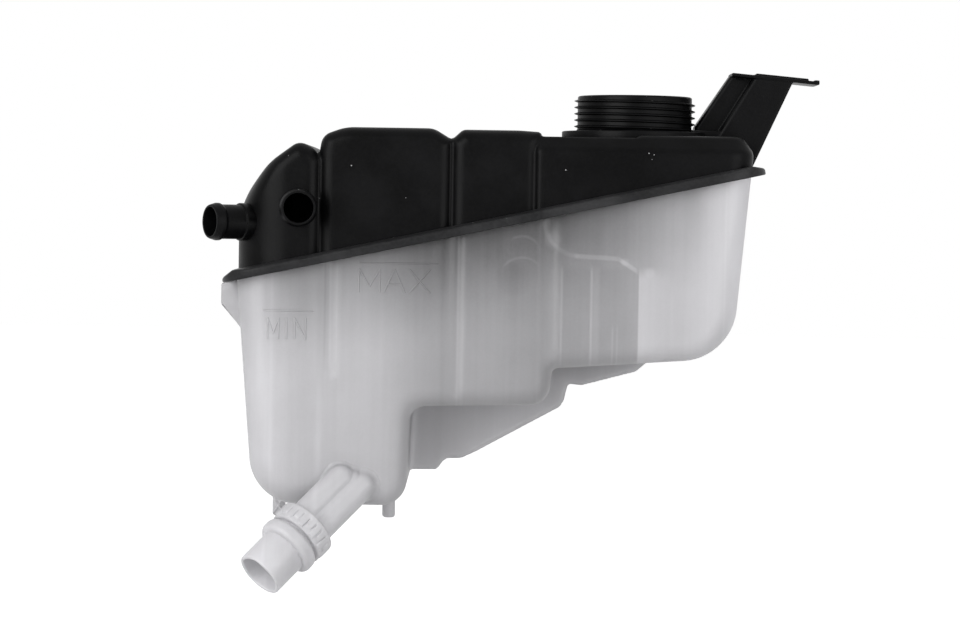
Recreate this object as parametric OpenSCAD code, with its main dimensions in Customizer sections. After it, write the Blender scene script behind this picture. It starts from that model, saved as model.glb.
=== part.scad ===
// Coolant expansion tank: two moulded half shells joined on an inclined flange.
// The lower shell is natural translucent plastic with a deep leg, locating pegs,
// a side hook and an angled outlet pipe. The upper shell is black, with four
// lobes, a threaded filler neck, two hose barbs and a raised fixing bracket.
// Millimetres. X runs along the tank, -Y is the front and +Z is up as installed.
// The origin is the root of the right locating peg, level with the leg's underside.

/* [Tank body] */
// Half of the tank's depth, front to back
half_d = 52; // [46:0.5:60]
// Left wall of the tank at the seam
left_x = -70.3; // [-74:0.1:-66]
// Right wall of the tank at the seam
right_x = 166.1; // [160:0.1:172]
// Wall thickness of both shells
wall = 2.5; // [1.8:0.1:3.2]
// Lean of the left wall towards the leg
left_draft = 4.6; // [2:0.1:6]
// Lean of the right wall
right_draft = 4.9; // [2:0.1:6]
// Plan radius of the left corners of the lower shell
left_corner_r = 13; // [8:0.5:16]
// Plan radius of the right corners of both shells
right_corner_r = 12; // [8:0.5:16]

/* [Seam and flange] */
// Height of the flange's lower edge above the origin
seam_z = 118.1; // [114:0.1:124]
// Slope of the seam, rising to the right
seam_angle = 12.15; // [9:0.05:14]
// Thickness of the upper shell's flange
flange_h = 5; // [4:0.1:7]
// Overhang of the upper shell's flange
flange_w = 6.8; // [6:0.1:9]
// Height of the flange's front and back edges, where its top slopes down
flange_edge = 3.9; // [3:0.1:4.5]
// Height of the flange's right edge
right_edge = 2.9; // [2.6:0.1:4]
// Height of the flange's left edge
left_edge = 2; // [1.8:0.1:4]
// Height of the welded joint above the flange's lower edge
joint_s = 2.5; // [1.5:0.1:3]
// Overhang of the lower shell's flange inside the skirt
inner_flange_w = 4.6; // [3:0.1:5]
// Clearance between the inner flange and the skirt
skirt_gap = 0.3; // [0.2:0.05:0.6]
// Length of the tongue that covers the side hook, past the left wall
tongue_l = 8.6; // [8:0.1:11]
// Height of the tongue's underside above the flange's lower edge
tongue_lift = 0.9; // [0.5:0.1:1.5]
// Thickness of the tongue's end
tongue_t = 0.8; // [0.6:0.1:1.2]
// Width of the tongue
tongue_w = 26; // [20:1:34]

/* [Lower shell] */
// Outer side of the leg next to the peg
leg_right = 9; // [6:0.1:14]
// Plan radius of the leg's right corners
leg_corner_r = 9; // [6:0.5:11]
// Radius of the leg's outer lower corner
leg_left_r = 22; // [14:0.5:26]
// Radius of the leg's inner lower corner
leg_right_r = 12; // [8:0.5:14]
// Underside of the middle chamber where it meets the leg
mid_z = 46.9; // [42:0.1:52]
// Right end of the middle chamber
mid_right = 74; // [70:0.1:78]
// Underside of the right chamber at its left end
end_z = 64.5; // [61:0.1:68]
// Slope of both chamber undersides
floor_slope = 4; // [2:0.1:5]
// Radius of the right chamber's lower corner
end_r = 26; // [18:0.5:30]
// Fillet along the front and back lower edges
floor_r = 9; // [6:0.5:12]

/* [Rear sump] */
// Distance of the sump's front wall behind the tank's middle
sump_y = 4; // [0:0.5:10]
// Setback of the sump's back wall from the tank's back wall
sump_inset = 0.6; // [0.3:0.1:3]
// Underside of the sump beside the leg
sump_z = 12; // [9:0.5:16]
// Length of the sump's flat underside beside the leg
sump_flat = 17; // [14:0.5:20]
// Reach of the sump under the leg
sump_back = 26; // [20:0.5:32]
// Length of the sump's sloping underside
sump_run = 56; // [50:0.5:60]
// Length of the sump's upper part behind the step
sump_end = 38; // [30:1:39]
// Slope of the sump's long underside
sump_slope = 28.5; // [26:0.1:30]
// Height of the sump's step at its right end
sump_step = 11; // [8:0.1:13]

/* [Recess in the back wall] */
// Left side of the recess
recess_x = 89; // [86:0.5:92]
// Width of the recess
recess_w = 34; // [28:1:38]
// Top of the recess
recess_z = 112; // [104:0.5:116]
// Depth of the recess
recess_d = 22; // [14:1:28]

/* [Ribs, baffles and level marks] */
// Positions of the baffles and front grooves of the lower shell
baffle_x = [-26.4, 31, 74];
// Thickness of a baffle
baffle_t = 2; // [1.6:0.1:2.6]
// Diameter of the flow hole in a baffle
flow_d = 16; // [10:1:20]
// Width of a front groove
groove_w = 5; // [4:0.5:7]
// Depth of a front groove
groove_d = 1.2; // [0.8:0.1:1.6]
// Height of the upper level mark
max_z = 111.9; // [106:0.1:114]
// Left end and length of the upper level mark
max_line = [-13.2, 35.7];
// Height of the lower level mark
min_z = 89.5; // [84:0.1:94]
// Left end and length of the lower level mark
min_line = [-56, 21.6];
// Height that the level marks stand proud
mark_h = 0.6; // [0.4:0.1:1]
// Thickness of the level marks
mark_t = 1.1; // [0.8:0.1:1.6]

/* [Locating pegs and hook] */
// Diameter of the locating pegs
peg_d = 6.2; // [5:0.1:7.5]
// Diameter of the boss at the root of a peg
peg_boss_d = 8.4; // [7.6:0.1:10]
// Length of the locating pegs
peg_l = 10; // [8:0.5:14]
// Distance between the pegs
peg_span = 52.2; // [47:0.1:53]
// Reach of the side hook past the left wall
hook_l = 9.8; // [9:0.1:12]
// Height of the hook's outer edge
hook_h = 10.2; // [8:0.1:14]
// Height of the hook's root on the wall
hook_root = 25; // [20:0.5:30]
// Width of the hook
hook_w = 22; // [16:1:26]

/* [Outlet] */
// Angle of the outlet below level
outlet_drop = 45.1; // [41:0.1:49]
// Angle of the outlet towards the front
outlet_out = 29.5; // [24:0.5:32]
// Point where the outlet's axis leaves the leg's front face, sideways
outlet_x = -15.3; // [-20:0.1:-11]
// Point where the outlet's axis leaves the leg's front face, upwards
outlet_z = 11.8; // [10:0.1:15]
// Length of the outlet from the leg's front face to its mouth
outlet_l = 64.9; // [60:0.1:70]
// Width of the outlet pipe over both ridges
pipe_w = 22; // [20:0.1:24]
// Diameter of each ridge of the outlet pipe
ridge_d = 13; // [12:0.1:14.5]
// Start of the two ridges along the outlet, halfway between them
ridge_from = 2; // [0:0.1:4]
// Distance by which the lower ridge reaches further up the leg
ridge_step = 8; // [4:0.1:10]
// Diameter of the pipe between and behind the ridges
core_d = 10.8; // [10.4:0.1:12]
// Bore of the outlet pipe
pipe_bore = 7.4; // [6:0.1:8]
// Outer diameter of the spigot
spigot_d = 22.4; // [21:0.1:24]
// Bore of the spigot
spigot_bore = 19; // [16:0.1:19.4]
// Depth of the spigot's bore
spigot_depth = 24; // [18:0.5:28]
// Outer diameter of the collar next to the pipe
collar_d = 28.6; // [27:0.1:30]
// Length of the collar next to the pipe
collar_l = 9; // [7:0.1:11]
// Outer diameter of the sealing ring
seal_d = 28.4; // [27:0.1:31]
// Length of the sealing ring
seal_l = 6.8; // [6:0.1:9]
// Distance from the mouth to the sealing ring
seal_from = 16.6; // [13:0.1:18]
// Gap between the sealing ring and the collar
seal_gap = 1.2; // [1:0.1:3]

/* [Upper shell] */
// Front and back fillet of the lobes
lobe_r = 6.5; // [5:0.5:8]
// Depth of the grooves between lobes, set by the lobes' plan radius
lobe_corner_r = 6; // [5:0.5:8]
// Overlap of neighbouring lobes
lobe_lap = 1.2; // [0.8:0.1:2]
// Plan radius of the first lobe's left corners
first_corner_r = 24; // [20:0.5:28]
// Boundary between the first and the second lobe
split_a = -32.3; // [-35:0.1:-30]
// Boundary between the second and the third lobe
split_b = 28; // [25:0.1:31]
// Boundary between the third and the fourth lobe
split_c = 67.6; // [64:0.1:70]
// Left wall of the first lobe
first_left = -70.8; // [-72:0.1:-69]
// Peak of the first lobe
first_top = 169; // [164:0.1:172]
// Fall of the first lobe from its peak to the crown of its slope
first_crown = 11.6; // [10:0.1:13]
// Distance of the slope's crown from the first lobe's left wall
first_crown_x = 14.8; // [13:0.1:17]
// Radius of the slope's crown
first_crown_r = 34; // [28:0.5:40]
// Fall of the first lobe from its peak to its shoulder
first_fall = 31; // [28:0.5:34]
// Radius of the first lobe's shoulder
first_shoulder_r = 16; // [12:0.5:20]
// Top of the second and third lobes
mid_top = 174.1; // [171:0.1:177]
// Distance of the second lobe's left rounding from its left wall
second_crown_x = 20; // [17:0.5:24]
// Radius of the second lobe's left rounding
second_crown_r = 16; // [12:0.5:20]
// Fall of the second lobe along its left rounding
second_fall = 15; // [13:0.5:17]
// Top of the fourth lobe
last_top = 172.3; // [170:0.1:174]
// Bevel at the fourth lobe's upper right corner
last_bevel = 7.5; // [5:0.5:9]
// Reach of the passage between the lobes into the first lobe
passage_left = 14; // [10:0.5:18]
// Reach of the passage into the fourth lobe
passage_right = 20; // [12:0.5:26]
// Distance of the passage's roof below the first lobe's peak
passage_drop = 13; // [11:0.5:18]
// Setback of the first three lobes behind the fourth
lobe_setback = 2; // [1:0.5:3]

/* [Filler neck] */
// Axis of the neck along the tank
neck_x = 113.8; // [110:0.1:118]
// Height of the neck above the fourth lobe
neck_h = 19.2; // [16:0.1:22]
// Root diameter of the neck's thread
thread_root_d = 54; // [52:0.1:55]
// Wall of the neck at the thread's root
neck_wall = 3.5; // [2.5:0.1:5.5]
// Height of the thread's ridges
thread_h = 1.5; // [1:0.1:1.8]
// Pitch of the thread
thread_pitch = 3; // [2.5:0.1:3.4]
// Number of ridges on the neck
thread_turns = 5; // [3:1:5]
// Distance from the rim to the first ridge
thread_from = 2; // [1.5:0.1:3]
// Width of the pad around the neck
pad_w = 7.3; // [5.5:0.1:8.5]
// Height of the pad above the fourth lobe
pad_h = 2.5; // [1.5:0.1:4]

/* [Hose barbs] */
// Outer diameter of the barbs
barb_d = 15.8; // [14:0.1:17]
// Outer diameter of the bead near the tip
bead_d = 17.8; // [16:0.1:19]
// Bore of the barbs
barb_bore = 13; // [9:0.1:13.2]
// Length of the barbs from their base
barb_l = 18.2; // [16:0.1:26]
// Diameter of the base ring
base_d = 18.4; // [17:0.1:20]
// Thickness of the base ring
base_t = 3; // [2:0.1:4]
// Height of both barbs
barb_z = 129.7; // [126:0.1:134]
// Turn of the left barb from the tank's side towards the front
left_barb_turn = 32; // [26:0.5:38]
// Position of the front barb along the tank
front_barb_x = -42; // [-46:0.1:-38]
// Height of the front barb
front_barb_z = 136.6; // [134:0.1:142]
// Turn of the front barb towards the neck
front_barb_turn = 4; // [0:0.5:8]

/* [Bracket] */
// Width of the bracket arm
arm_w = 22; // [16:1:30]
// Length of the arm's upper end, along the top plate
arm_top = 28.4; // [26:0.1:31]
// Wall of the bracket arm
arm_t = 3; // [2.4:0.1:4]
// Width of the recessed channel on the arm's left side
channel_w = 11; // [8:0.5:14]
// Depth of the recessed channel
channel_d = 6; // [4:0.5:8]
// Distance of the channel's foot from the top plate's left end
channel_run = 27; // [25:0.5:29]
// Left end of the top plate
plate_x = 158.8; // [156:0.1:162]
// Length of the top plate
plate_l = 41.6; // [38:0.1:45]
// Height of the top plate's left end
plate_z = 203.3; // [198:0.1:208]
// Fall of the top plate towards its free end
plate_fall = 7.4; // [5:0.1:9]
// Thickness of the top plate
plate_t = 1.6; // [1.4:0.1:2.4]
// Overhang of the top plate at the front and back of the arm
plate_over = 0.5; // [0.3:0.1:3]
// Start of the raised pad along the plate
boss_from = 10.8; // [8:0.1:12]
// Length of the raised pad
boss_l = 25; // [20:0.1:27]
// Height of the raised pad
boss_h = 1.4; // [1:0.1:2.2]
// Length of the lip at the plate's free end
lip_l = 2.4; // [1.5:0.1:4]
// Height of the lip above the plate
lip_h = 0.6; // [0.3:0.1:1.2]
// Diameter of the fixing hole
hole_d = 8.5; // [6:0.1:9]
// Distance of the fixing hole from the plate's left end
hole_from = 18.4; // [17.6:0.1:19]

/* [Hidden] */
$fn = 64;
arc_steps = 7;
far = 400;
high = 176;
deep = 84;
sump_over = 94;
corner_over = 0.3;
neck_top = last_top + neck_h;
neck_bore = thread_root_d - 2 * neck_wall;
pad_d = thread_root_d + 2 * pad_w;

// Height of the flange's lower edge at a place along the tank
function seam_at(x) = seam_z + x * tan(seam_angle);

// Outer faces of the leaning end walls
function left_wall(z) = left_x - (z - seam_at(left_x)) * tan(left_draft);
function right_wall(z) = right_x + (z - seam_at(right_x)) * tan(right_draft);

// Undersides of the middle and right chambers
function mid_floor(x) = mid_z + (x - leg_right) * tan(floor_slope);
function end_floor(x) = end_z + (x - mid_right) * tan(floor_slope);

// Corners of an outline are [across, up, radius], counter-clockwise
function unit(v) = v / norm(v);
function flat(p) = [p[0], p[1]];
function inward(a, b) = let (v = unit(flat(b) - flat(a))) [-v[1], v[0]];
function cross2(a, b) = a[0] * b[1] - a[1] * b[0];

// Moves every edge of an outline inwards by t and keeps its roundings concentric
function inset(corners, t) =
    let (n = len(corners))
    [for (i = [0:n - 1])
        let (
            a = corners[(i + n - 1) % n],
            p = corners[i],
            b = corners[(i + 1) % n],
            n1 = inward(a, p),
            n2 = inward(p, b),
            shift = (n1 + n2) / (1 + n1 * n2) * t,
            convex = cross2(flat(p) - flat(a), flat(b) - flat(p)) > 0,
            r = p[2] == 0 ? 0 : convex ? max(p[2] - t, 0.6) : p[2] + t
        )
        [p[0] + shift[0], p[1] + shift[1], r]];

// Turns corners with radii into the points of a rounded outline
function rounded(corners) =
    let (n = len(corners))
    [for (i = [0:n - 1])
        let (
            p = flat(corners[i]),
            to_a = flat(corners[(i + n - 1) % n]) - p,
            to_b = flat(corners[(i + 1) % n]) - p,
            u = unit(to_a),
            v = unit(to_b),
            half = acos(u * v) / 2,
            r = min(corners[i][2], 0.48 * min(norm(to_a), norm(to_b)) * tan(half)),
            c = p + unit(u + v) * r / sin(half),
            from = p + u * r / tan(half) - c,
            to = p + v * r / tan(half) - c,
            start = atan2(from[1], from[0]),
            turn = atan2(cross2(from, to), from * to)
        )
        each r < 0.05
            ? [p]
            : [for (k = [0:arc_steps]) c + r * [cos(start + turn * k / arc_steps), sin(start + turn * k / arc_steps)]]];

// Outline in X and Z, extruded along Y
module slab(corners, t, y_front, y_back) {
    translate([0, y_back - t, 0])
        rotate([90, 0, 0])
            linear_extrude(y_back - y_front - 2 * t)
                polygon(rounded(inset(corners, t)));
}

// Outline in X and Y, extruded along Z through the whole tank
module plan(corners, t) {
    translate([0, 0, -far / 2])
        linear_extrude(2 * far)
            polygon(rounded(inset(corners, t)));
}

// Outline in Y and Z, extruded along X from x_from to x_to
module section(corners, t, x_from, x_to) {
    translate([x_from, 0, 0])
        rotate([90, 0, 90])
            linear_extrude(x_to - x_from)
                polygon(rounded(inset(corners, t)));
}

// Places children on the flange's lower edge, with X along the slope
module on_seam() {
    translate([0, 0, seam_z])
        rotate([0, -seam_angle, 0])
            children();
}

// Everything below or above a plane parallel to the seam
module below(s) {
    on_seam()
        translate([-far, -far, -2 * far + s])
            cube(2 * far);
}

module above(s) {
    on_seam()
        translate([-far, -far, s])
            cube(2 * far);
}

// Rounded rectangle of the joint, grown by g and extruded by h along the seam's normal
module joint_plate(g, h) {
    u0 = left_x / cos(seam_angle) - g;
    u1 = right_x / cos(seam_angle) + g;
    linear_extrude(h)
        polygon(rounded([
            [u0, -half_d - g, left_corner_r + g],
            [u1, -half_d - g, right_corner_r + g],
            [u1, half_d + g, right_corner_r + g],
            [u0, half_d + g, left_corner_r + g]
        ]));
}

// Front silhouette of the lower shell
function lower_outline() = [
    [left_wall(0), 0, leg_left_r],
    [leg_right, 0, leg_right_r],
    [leg_right + mid_z * tan(2), mid_z, 5],
    [mid_right, mid_floor(mid_right), 9],
    [mid_right + 1.6, end_floor(mid_right), 3],
    [right_wall(end_z), end_floor(right_wall(end_z)), end_r],
    [right_wall(high), high, 0],
    [left_wall(high), high, 0]
];

// Front and back of the tank, without its ends
function sides_plan() = [
    [-far, -half_d, 0],
    [far, -half_d, 0],
    [far, half_d, 0],
    [-far, half_d, 0]
];

// Plan of one end, with its rounded wall at x = 0 and the tank at x > 0
function end_plan(r) = [
    [0, -half_d - corner_over, r],
    [far, -half_d - corner_over, 0],
    [far, half_d + corner_over, 0],
    [0, half_d + corner_over, r]
];

// Plan of the leg, with rounded corners beside the middle chamber
function leg_plan() = [
    [-far, -half_d - wall, 0],
    [leg_right + mid_z * tan(2), -half_d, leg_corner_r],
    [leg_right + mid_z * tan(2), half_d, leg_corner_r],
    [-far, half_d + wall, 0]
];

// Both ends of the tank, whose rounded walls lean outwards
module leaning_ends(t) {
    intersection() {
        translate([left_x, 0, seam_at(left_x)])
            rotate([0, -left_draft, 0])
                plan(end_plan(left_corner_r), t);
        translate([right_x, 0, seam_at(right_x)])
            rotate([0, -right_draft, 180])
                plan(end_plan(right_corner_r), t);
    }
}

// Cross-section of one chamber, rounded along its lower edges, that widens upwards
function chamber(z) = [
    [-half_d, z, floor_r],
    [half_d, z, floor_r],
    [half_d + 0.02 * far, 2 * far, 0],
    [-half_d - 0.02 * far, 2 * far, 0]
];

module tilted(x, z) {
    translate([x, 0, z])
        rotate([0, -floor_slope, 0])
            children();
}

// Leg, middle chamber and right chamber, each rounded along its own underside
module chambers(t) {
    intersection() {
        slab(lower_outline(), t, -half_d - floor_r, half_d + floor_r);
        union() {
            intersection() {
                section(chamber(0), t, -far / 2, leg_right + 5);
                plan(leg_plan(), t);
            }
            tilted(leg_right, mid_z)
                section(chamber(0), t, -2 * leg_corner_r, far);
        }
        union() {
            section(chamber(0), t, -far / 2, mid_right + 2);
            tilted(mid_right, end_z)
                section(chamber(0), t, 0, far);
        }
        plan(sides_plan(), t);
        leaning_ends(t);
    }
}

// Side outline of the sump behind the middle chamber
function sump_outline() =
    let (
        toe = leg_right + sump_flat,
        knee = toe + sump_run,
        rise = sump_z + 6.2 + (sump_run - 10) * tan(sump_slope)
    )
    [
        [leg_right - sump_back, sump_z, 3],
        [toe - 4.5, sump_z, 2],
        [toe + 1, sump_z + 4.6, 2],
        [toe + 10, sump_z + 6.2, 5],
        [knee, rise, 4],
        [knee + 4, rise + sump_step, 3],
        [knee + 16, rise + sump_step + 1.5, 6],
        [knee + sump_end, rise + sump_step + 12, 3],
        [knee + sump_end, sump_over, 3],
        [leg_right - sump_back, sump_over, 3]
    ];

module sump(t) {
    slab(sump_outline(), t, sump_y, half_d - sump_inset);
}

// Recess that is let into the back wall from behind
module back_recess(t) {
    slab([
        [recess_x, 0, 0],
        [recess_x + recess_w, 0, 0],
        [recess_x + recess_w, recess_z, 6],
        [recess_x, recess_z, 10]
    ], -t, half_d - recess_d, half_d + 2 * wall);
}

// Shallow half-round grooves down the front wall
module front_grooves(t) {
    groove_r = (groove_w * groove_w / 4 + groove_d * groove_d) / (2 * groove_d);
    for (x = baffle_x)
        translate([x, -half_d + groove_d - groove_r, x < 0 ? max_z / 2 : 0])
            cylinder(r = groove_r + t, h = high);
}

// Baffle plates across the tank, with flow holes low down
module baffles() {
    for (x = baffle_x) {
        low = x < leg_right ? 0 : x < mid_right ? mid_floor(x) : end_floor(x);
        difference() {
            translate([x - baffle_t / 2, -half_d, 0])
                cube([baffle_t, 2 * half_d, seam_at(x) - 8]);
            for (side = [-1, 1])
                translate([x - baffle_t, side * half_d / 2, low + wall + flow_d])
                    rotate([0, 90, 0])
                        cylinder(d = flow_d, h = 2 * baffle_t);
        }
    }
}

// Coolant space of the lower shell, open at the joint
module lower_cavity() {
    difference() {
        union() {
            chambers(wall);
            sump(wall);
        }
        back_recess(wall);
        front_grooves(wall);
        baffles();
    }
}

module peg(x) {
    translate([x, 0, -peg_l])
        rotate_extrude()
            polygon(rounded([
                [0, 0, 0],
                [peg_d / 2, 0, 1.6],
                [peg_d / 2, peg_l, 0],
                [peg_boss_d / 2, peg_l, 0],
                [peg_boss_d / 2, peg_l + leg_left_r / 2, 0],
                [0, peg_l + leg_left_r / 2, 0]
            ]));
}

// Hook on the left wall that carries the tongue of the upper shell
module hook() {
    z = seam_at(left_x - hook_l);
    intersection() {
        slab([
            [left_x - hook_l, z - hook_h, 1.5],
            [left_wall(z - hook_root) + wall / 2, z - hook_root, 0],
            [left_x + leg_left_r, z - hook_root, 0],
            [left_x + leg_left_r, z + 2 * hook_h, 0],
            [left_x - hook_l, z + 2 * hook_h, 0]
        ], 0, -hook_w / 2, hook_w / 2);
        union() {
            below(-skirt_gap);
            intersection() {
                below(tongue_lift - skirt_gap);
                translate([left_x - flange_w - 1.5 * skirt_gap - 2 * hook_l, -far / 2, 0])
                    cube([2 * hook_l, far, far]);
            }
        }
    }
}

module level_mark(line, z) {
    translate([line[0], -half_d - mark_h, z - mark_t / 2])
        cube([line[1], wall, mark_t]);
}

// Outlet frame: Z runs along the outlet to its mouth, X points up beside it
module on_outlet() {
    translate([outlet_x, -half_d, outlet_z])
        rotate([0, -90 - outlet_drop, 0])
            rotate([outlet_out, 0, 0])
                children();
}

module ring(d, h, r) {
    rotate_extrude()
        polygon(rounded([[0, 0, 0], [d / 2, 0, r], [d / 2, h, r], [0, h, 0]]));
}

// Outlet pipe with two ridges, collar, sealing ring and spigot barrel
module outlet_body() {
    spread = (pipe_w - ridge_d) / 2;
    collar_from = outlet_l - seal_from - seal_l - seal_gap - collar_l;
    on_outlet() {
        for (side = [-1, 1])
            translate([side * spread, 0, ridge_from + side * ridge_step / 2]) {
                sphere(d = ridge_d);
                cylinder(d = ridge_d, h = collar_from - ridge_from - side * ridge_step / 2 + 1);
            }
        sphere(d = core_d);
        cylinder(d = core_d, h = collar_from + 1);
        translate([0, 0, collar_from])
            ring(collar_d, collar_l, 1);
        translate([0, 0, collar_from + 1])
            cylinder(d = spigot_d, h = outlet_l - collar_from - 1);
        translate([0, 0, outlet_l - seal_from - seal_l])
            ring(seal_d, seal_l, 2.4);
    }
}

// Bore of the outlet, and the port that joins its closed upper end to the leg
module outlet_bore() {
    on_outlet() {
        translate([0, 0, outlet_l - spigot_depth])
            cylinder(d = spigot_bore, h = spigot_depth + 1);
        cylinder(d = pipe_bore, h = outlet_l - 1);
        sphere(d = pipe_bore);
    }
    translate([outlet_x, -half_d, outlet_z])
        rotate([-90, 0, 0])
            cylinder(d = pipe_bore, h = 3 * wall);
}

module lower_shell() {
    color([0.87, 0.88, 0.89])
        difference() {
            union() {
                difference() {
                    intersection() {
                        union() {
                            chambers(0);
                            sump(0);
                        }
                        below(joint_s);
                    }
                    back_recess(0);
                    front_grooves(0);
                }
                on_seam()
                    joint_plate(inner_flange_w, joint_s);
                hook();
                peg(0);
                peg(-peg_span);
                level_mark(max_line, max_z);
                level_mark(min_line, min_z);
                outlet_body();
            }
            lower_cavity();
            outlet_bore();
        }
}

// Plan of a lobe from x_from to x_to, with its own corner radii
function lobe_plan(x_from, x_to, depth, r_left, r_right) = [
    [x_from, -depth, r_left],
    [x_to, -depth, r_right],
    [x_to, depth, r_right],
    [x_from, depth, r_left]
];

function lobe_section(depth, top) = [
    [depth, top, lobe_r],
    [-depth, top, lobe_r],
    [-depth, -far, 0],
    [depth, -far, 0]
];

module lobe(outline, x_from, x_to, depth, top, r_left, r_right, t) {
    intersection() {
        slab(outline, t, -depth, depth);
        plan(lobe_plan(x_from, x_to, depth, r_left, r_right), t);
        section(lobe_section(depth, top), t, -far, far);
    }
}

// First lobe, sloping up from the left wall to a rounded peak
module first_lobe(t) {
    x0 = first_left;
    x1 = split_a + lobe_lap / 2;
    lobe([
        [x0, deep, 0],
        [x1, deep, 0],
        [x1, first_top - 9.6, 2],
        [x1 - 4.6, first_top - 4.2, 5],
        [x1 - 9.6, first_top - 1.2, 6],
        [x0 + first_crown_x, first_top - first_crown, first_crown_r],
        [x0, first_top - first_fall, first_shoulder_r]
    ], x0, x1, half_d - lobe_setback, first_top, first_corner_r, lobe_corner_r, t);
}

// Second lobe, with a rounded left shoulder
module second_lobe(t) {
    x0 = split_a - lobe_lap / 2;
    x1 = split_b + lobe_lap / 2;
    lobe([
        [x0, deep, 0],
        [x1, deep, 0],
        [x1, mid_top - 5.5, 2],
        [x1 - 9, mid_top, 8],
        [x0 + second_crown_x, mid_top, second_crown_r],
        [x0 + 6.5, mid_top - 4.6, 8],
        [x0, mid_top - second_fall, 3]
    ], x0, x1, half_d - lobe_setback, mid_top, lobe_corner_r, lobe_corner_r, t);
}

// Third lobe, with a flat top
module third_lobe(t) {
    x0 = split_b - lobe_lap / 2;
    x1 = split_c + lobe_lap;
    lobe([
        [x0, deep, 0],
        [x1, deep, 0],
        [x1, mid_top - 1, 0],
        [x1 - 10, mid_top - 0.4, 8],
        [x0 + 5.6, mid_top - 0.4, 4],
        [x0, mid_top - 5.5, 2]
    ], x0, x1, half_d - lobe_setback, mid_top, lobe_corner_r, lobe_corner_r, t);
}

// Fourth lobe under the neck, bevelled at its right shoulder
module fourth_lobe(t) {
    x0 = split_c - lobe_lap;
    x1 = right_wall(last_top - last_bevel);
    lobe([
        [x0, deep, 0],
        [right_wall(deep), deep, 0],
        [x1, last_top - last_bevel, 3],
        [x1 - last_bevel * 0.8, last_top, 3],
        [x0, last_top, 2]
    ], x0, x1, half_d, last_top, 3, right_corner_r, t);
}

module lobes(t) {
    first_lobe(t);
    second_lobe(t);
    third_lobe(t);
    fourth_lobe(t);
}

// Passage that joins the lobes inside
module passage() {
    inner = half_d - lobe_setback - lobe_corner_r - wall;
    slab([
        [split_a - passage_left, deep, 0],
        [split_c + passage_right, deep, 0],
        [split_c + passage_right, first_top - passage_drop, 2],
        [split_a - passage_left, first_top - passage_drop, 2]
    ], 0, -inner, inner);
}

module upper_cavity() {
    union() {
        lobes(wall);
        passage();
    }
}

// Barb along Z from its base: ring, shank and bead
module barb() {
    rotate_extrude()
        polygon([
            [0, -8],
            [base_d / 2, -8],
            [base_d / 2, base_t],
            [barb_d / 2, base_t],
            [barb_d / 2, barb_l - 7],
            [bead_d / 2, barb_l - 5.5],
            [bead_d / 2, barb_l - 4.5],
            [barb_d / 2, barb_l - 1],
            [barb_d / 2 - 0.4, barb_l],
            [0, barb_l]
        ]);
}

// Left barb stands on the first lobe's round corner, square to it
module on_left_barb() {
    depth = half_d - lobe_setback;
    c = [first_left + first_corner_r, -depth + first_corner_r];
    translate([c[0], c[1], barb_z])
        rotate([0, 0, 180 + left_barb_turn])
            rotate([0, 90, 0])
                translate([0, 0, first_corner_r])
                    children();
}

module on_front_barb() {
    translate([front_barb_x, -half_d + lobe_setback, front_barb_z])
        rotate([0, 0, front_barb_turn])
            rotate([90, 0, 0])
                children();
}

module barb_bore_cut() {
    translate([0, 0, -12])
        cylinder(d = barb_bore, h = barb_l + 13);
}

// Threaded neck on its pad
module neck() {
    translate([neck_x, 0, 0]) {
        translate([0, 0, last_top - lobe_r])
            cylinder(d = pad_d, h = lobe_r + pad_h);
        translate([0, 0, last_top])
            cylinder(d = thread_root_d, h = neck_h);
        for (i = [0:thread_turns - 1])
            translate([0, 0, neck_top - thread_from - i * thread_pitch])
                rotate_extrude()
                    polygon([
                        [thread_root_d / 2 - 2, -1.1],
                        [thread_root_d / 2, -0.9],
                        [thread_root_d / 2 + thread_h, -0.15],
                        [thread_root_d / 2 + thread_h, 0.15],
                        [thread_root_d / 2, 0.9],
                        [thread_root_d / 2 - 2, 1.1]
                    ]);
    }
}

module neck_bore_cut() {
    translate([neck_x, 0, last_top - 3 * wall])
        cylinder(d = neck_bore, h = neck_h + 3 * wall + 1);
}

// Side outline of the bracket arm under its top plate
function arm_outline() = [
    [neck_x + pad_d / 2 - 6, last_top - 4, 0],
    [right_x - 4, seam_at(right_x) + 1.5, 0],
    [right_x + 2.6, seam_at(right_x) + flange_h - 1, 0],
    [plate_x + arm_top, plate_z - plate_t / 2 - arm_top * tan(plate_fall), 0],
    [plate_x, plate_z - plate_t / 2, 0],
    [neck_x + pad_d / 2 - 6, last_top + 5.2, 0]
];

// Side outline of the channel that runs down the arm's left side
function channel_outline() = [
    [plate_x - channel_run, last_top - 1, 0],
    [plate_x + channel_w - channel_run + 8, last_top - 1, 0],
    [plate_x + channel_w - 1, plate_z - plate_t - 1, 0],
    [plate_x - 13, plate_z - plate_t + 1, 0]
];

module side_channel(t) {
    slab(channel_outline(), -t, -arm_w / 2 - 1, -arm_w / 2 + channel_d);
}

// Places children on the top plate's left end, with X along the plate
module on_plate() {
    translate([plate_x, 0, plate_z])
        rotate([0, plate_fall, 0])
            children();
}

// Bracket arm: hollow and open at the back, with a side channel and the top plate
module bracket() {
    difference() {
        slab(arm_outline(), 0, -arm_w / 2, arm_w / 2);
        side_channel(0);
        difference() {
            slab(arm_outline(), arm_t, -arm_w / 2, arm_w / 2 + 3 * arm_t);
            side_channel(arm_t);
        }
    }
    on_plate() {
        translate([0, -arm_w / 2 - plate_over, -plate_t])
            cube([plate_l, arm_w + 2 * plate_over, plate_t]);
        translate([boss_from, -arm_w / 2 + 2, -0.5])
            cube([boss_l, arm_w - 4, boss_h + 0.5]);
        translate([plate_l - lip_l, -arm_w / 2, -plate_t / 2])
            cube([lip_l, arm_w, plate_t / 2 + lip_h]);
    }
}

module plate_hole() {
    on_plate()
        translate([hole_from, 0, -plate_t - arm_t])
            cylinder(d = hole_d, h = plate_t + arm_t + boss_h + 1);
}

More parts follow.
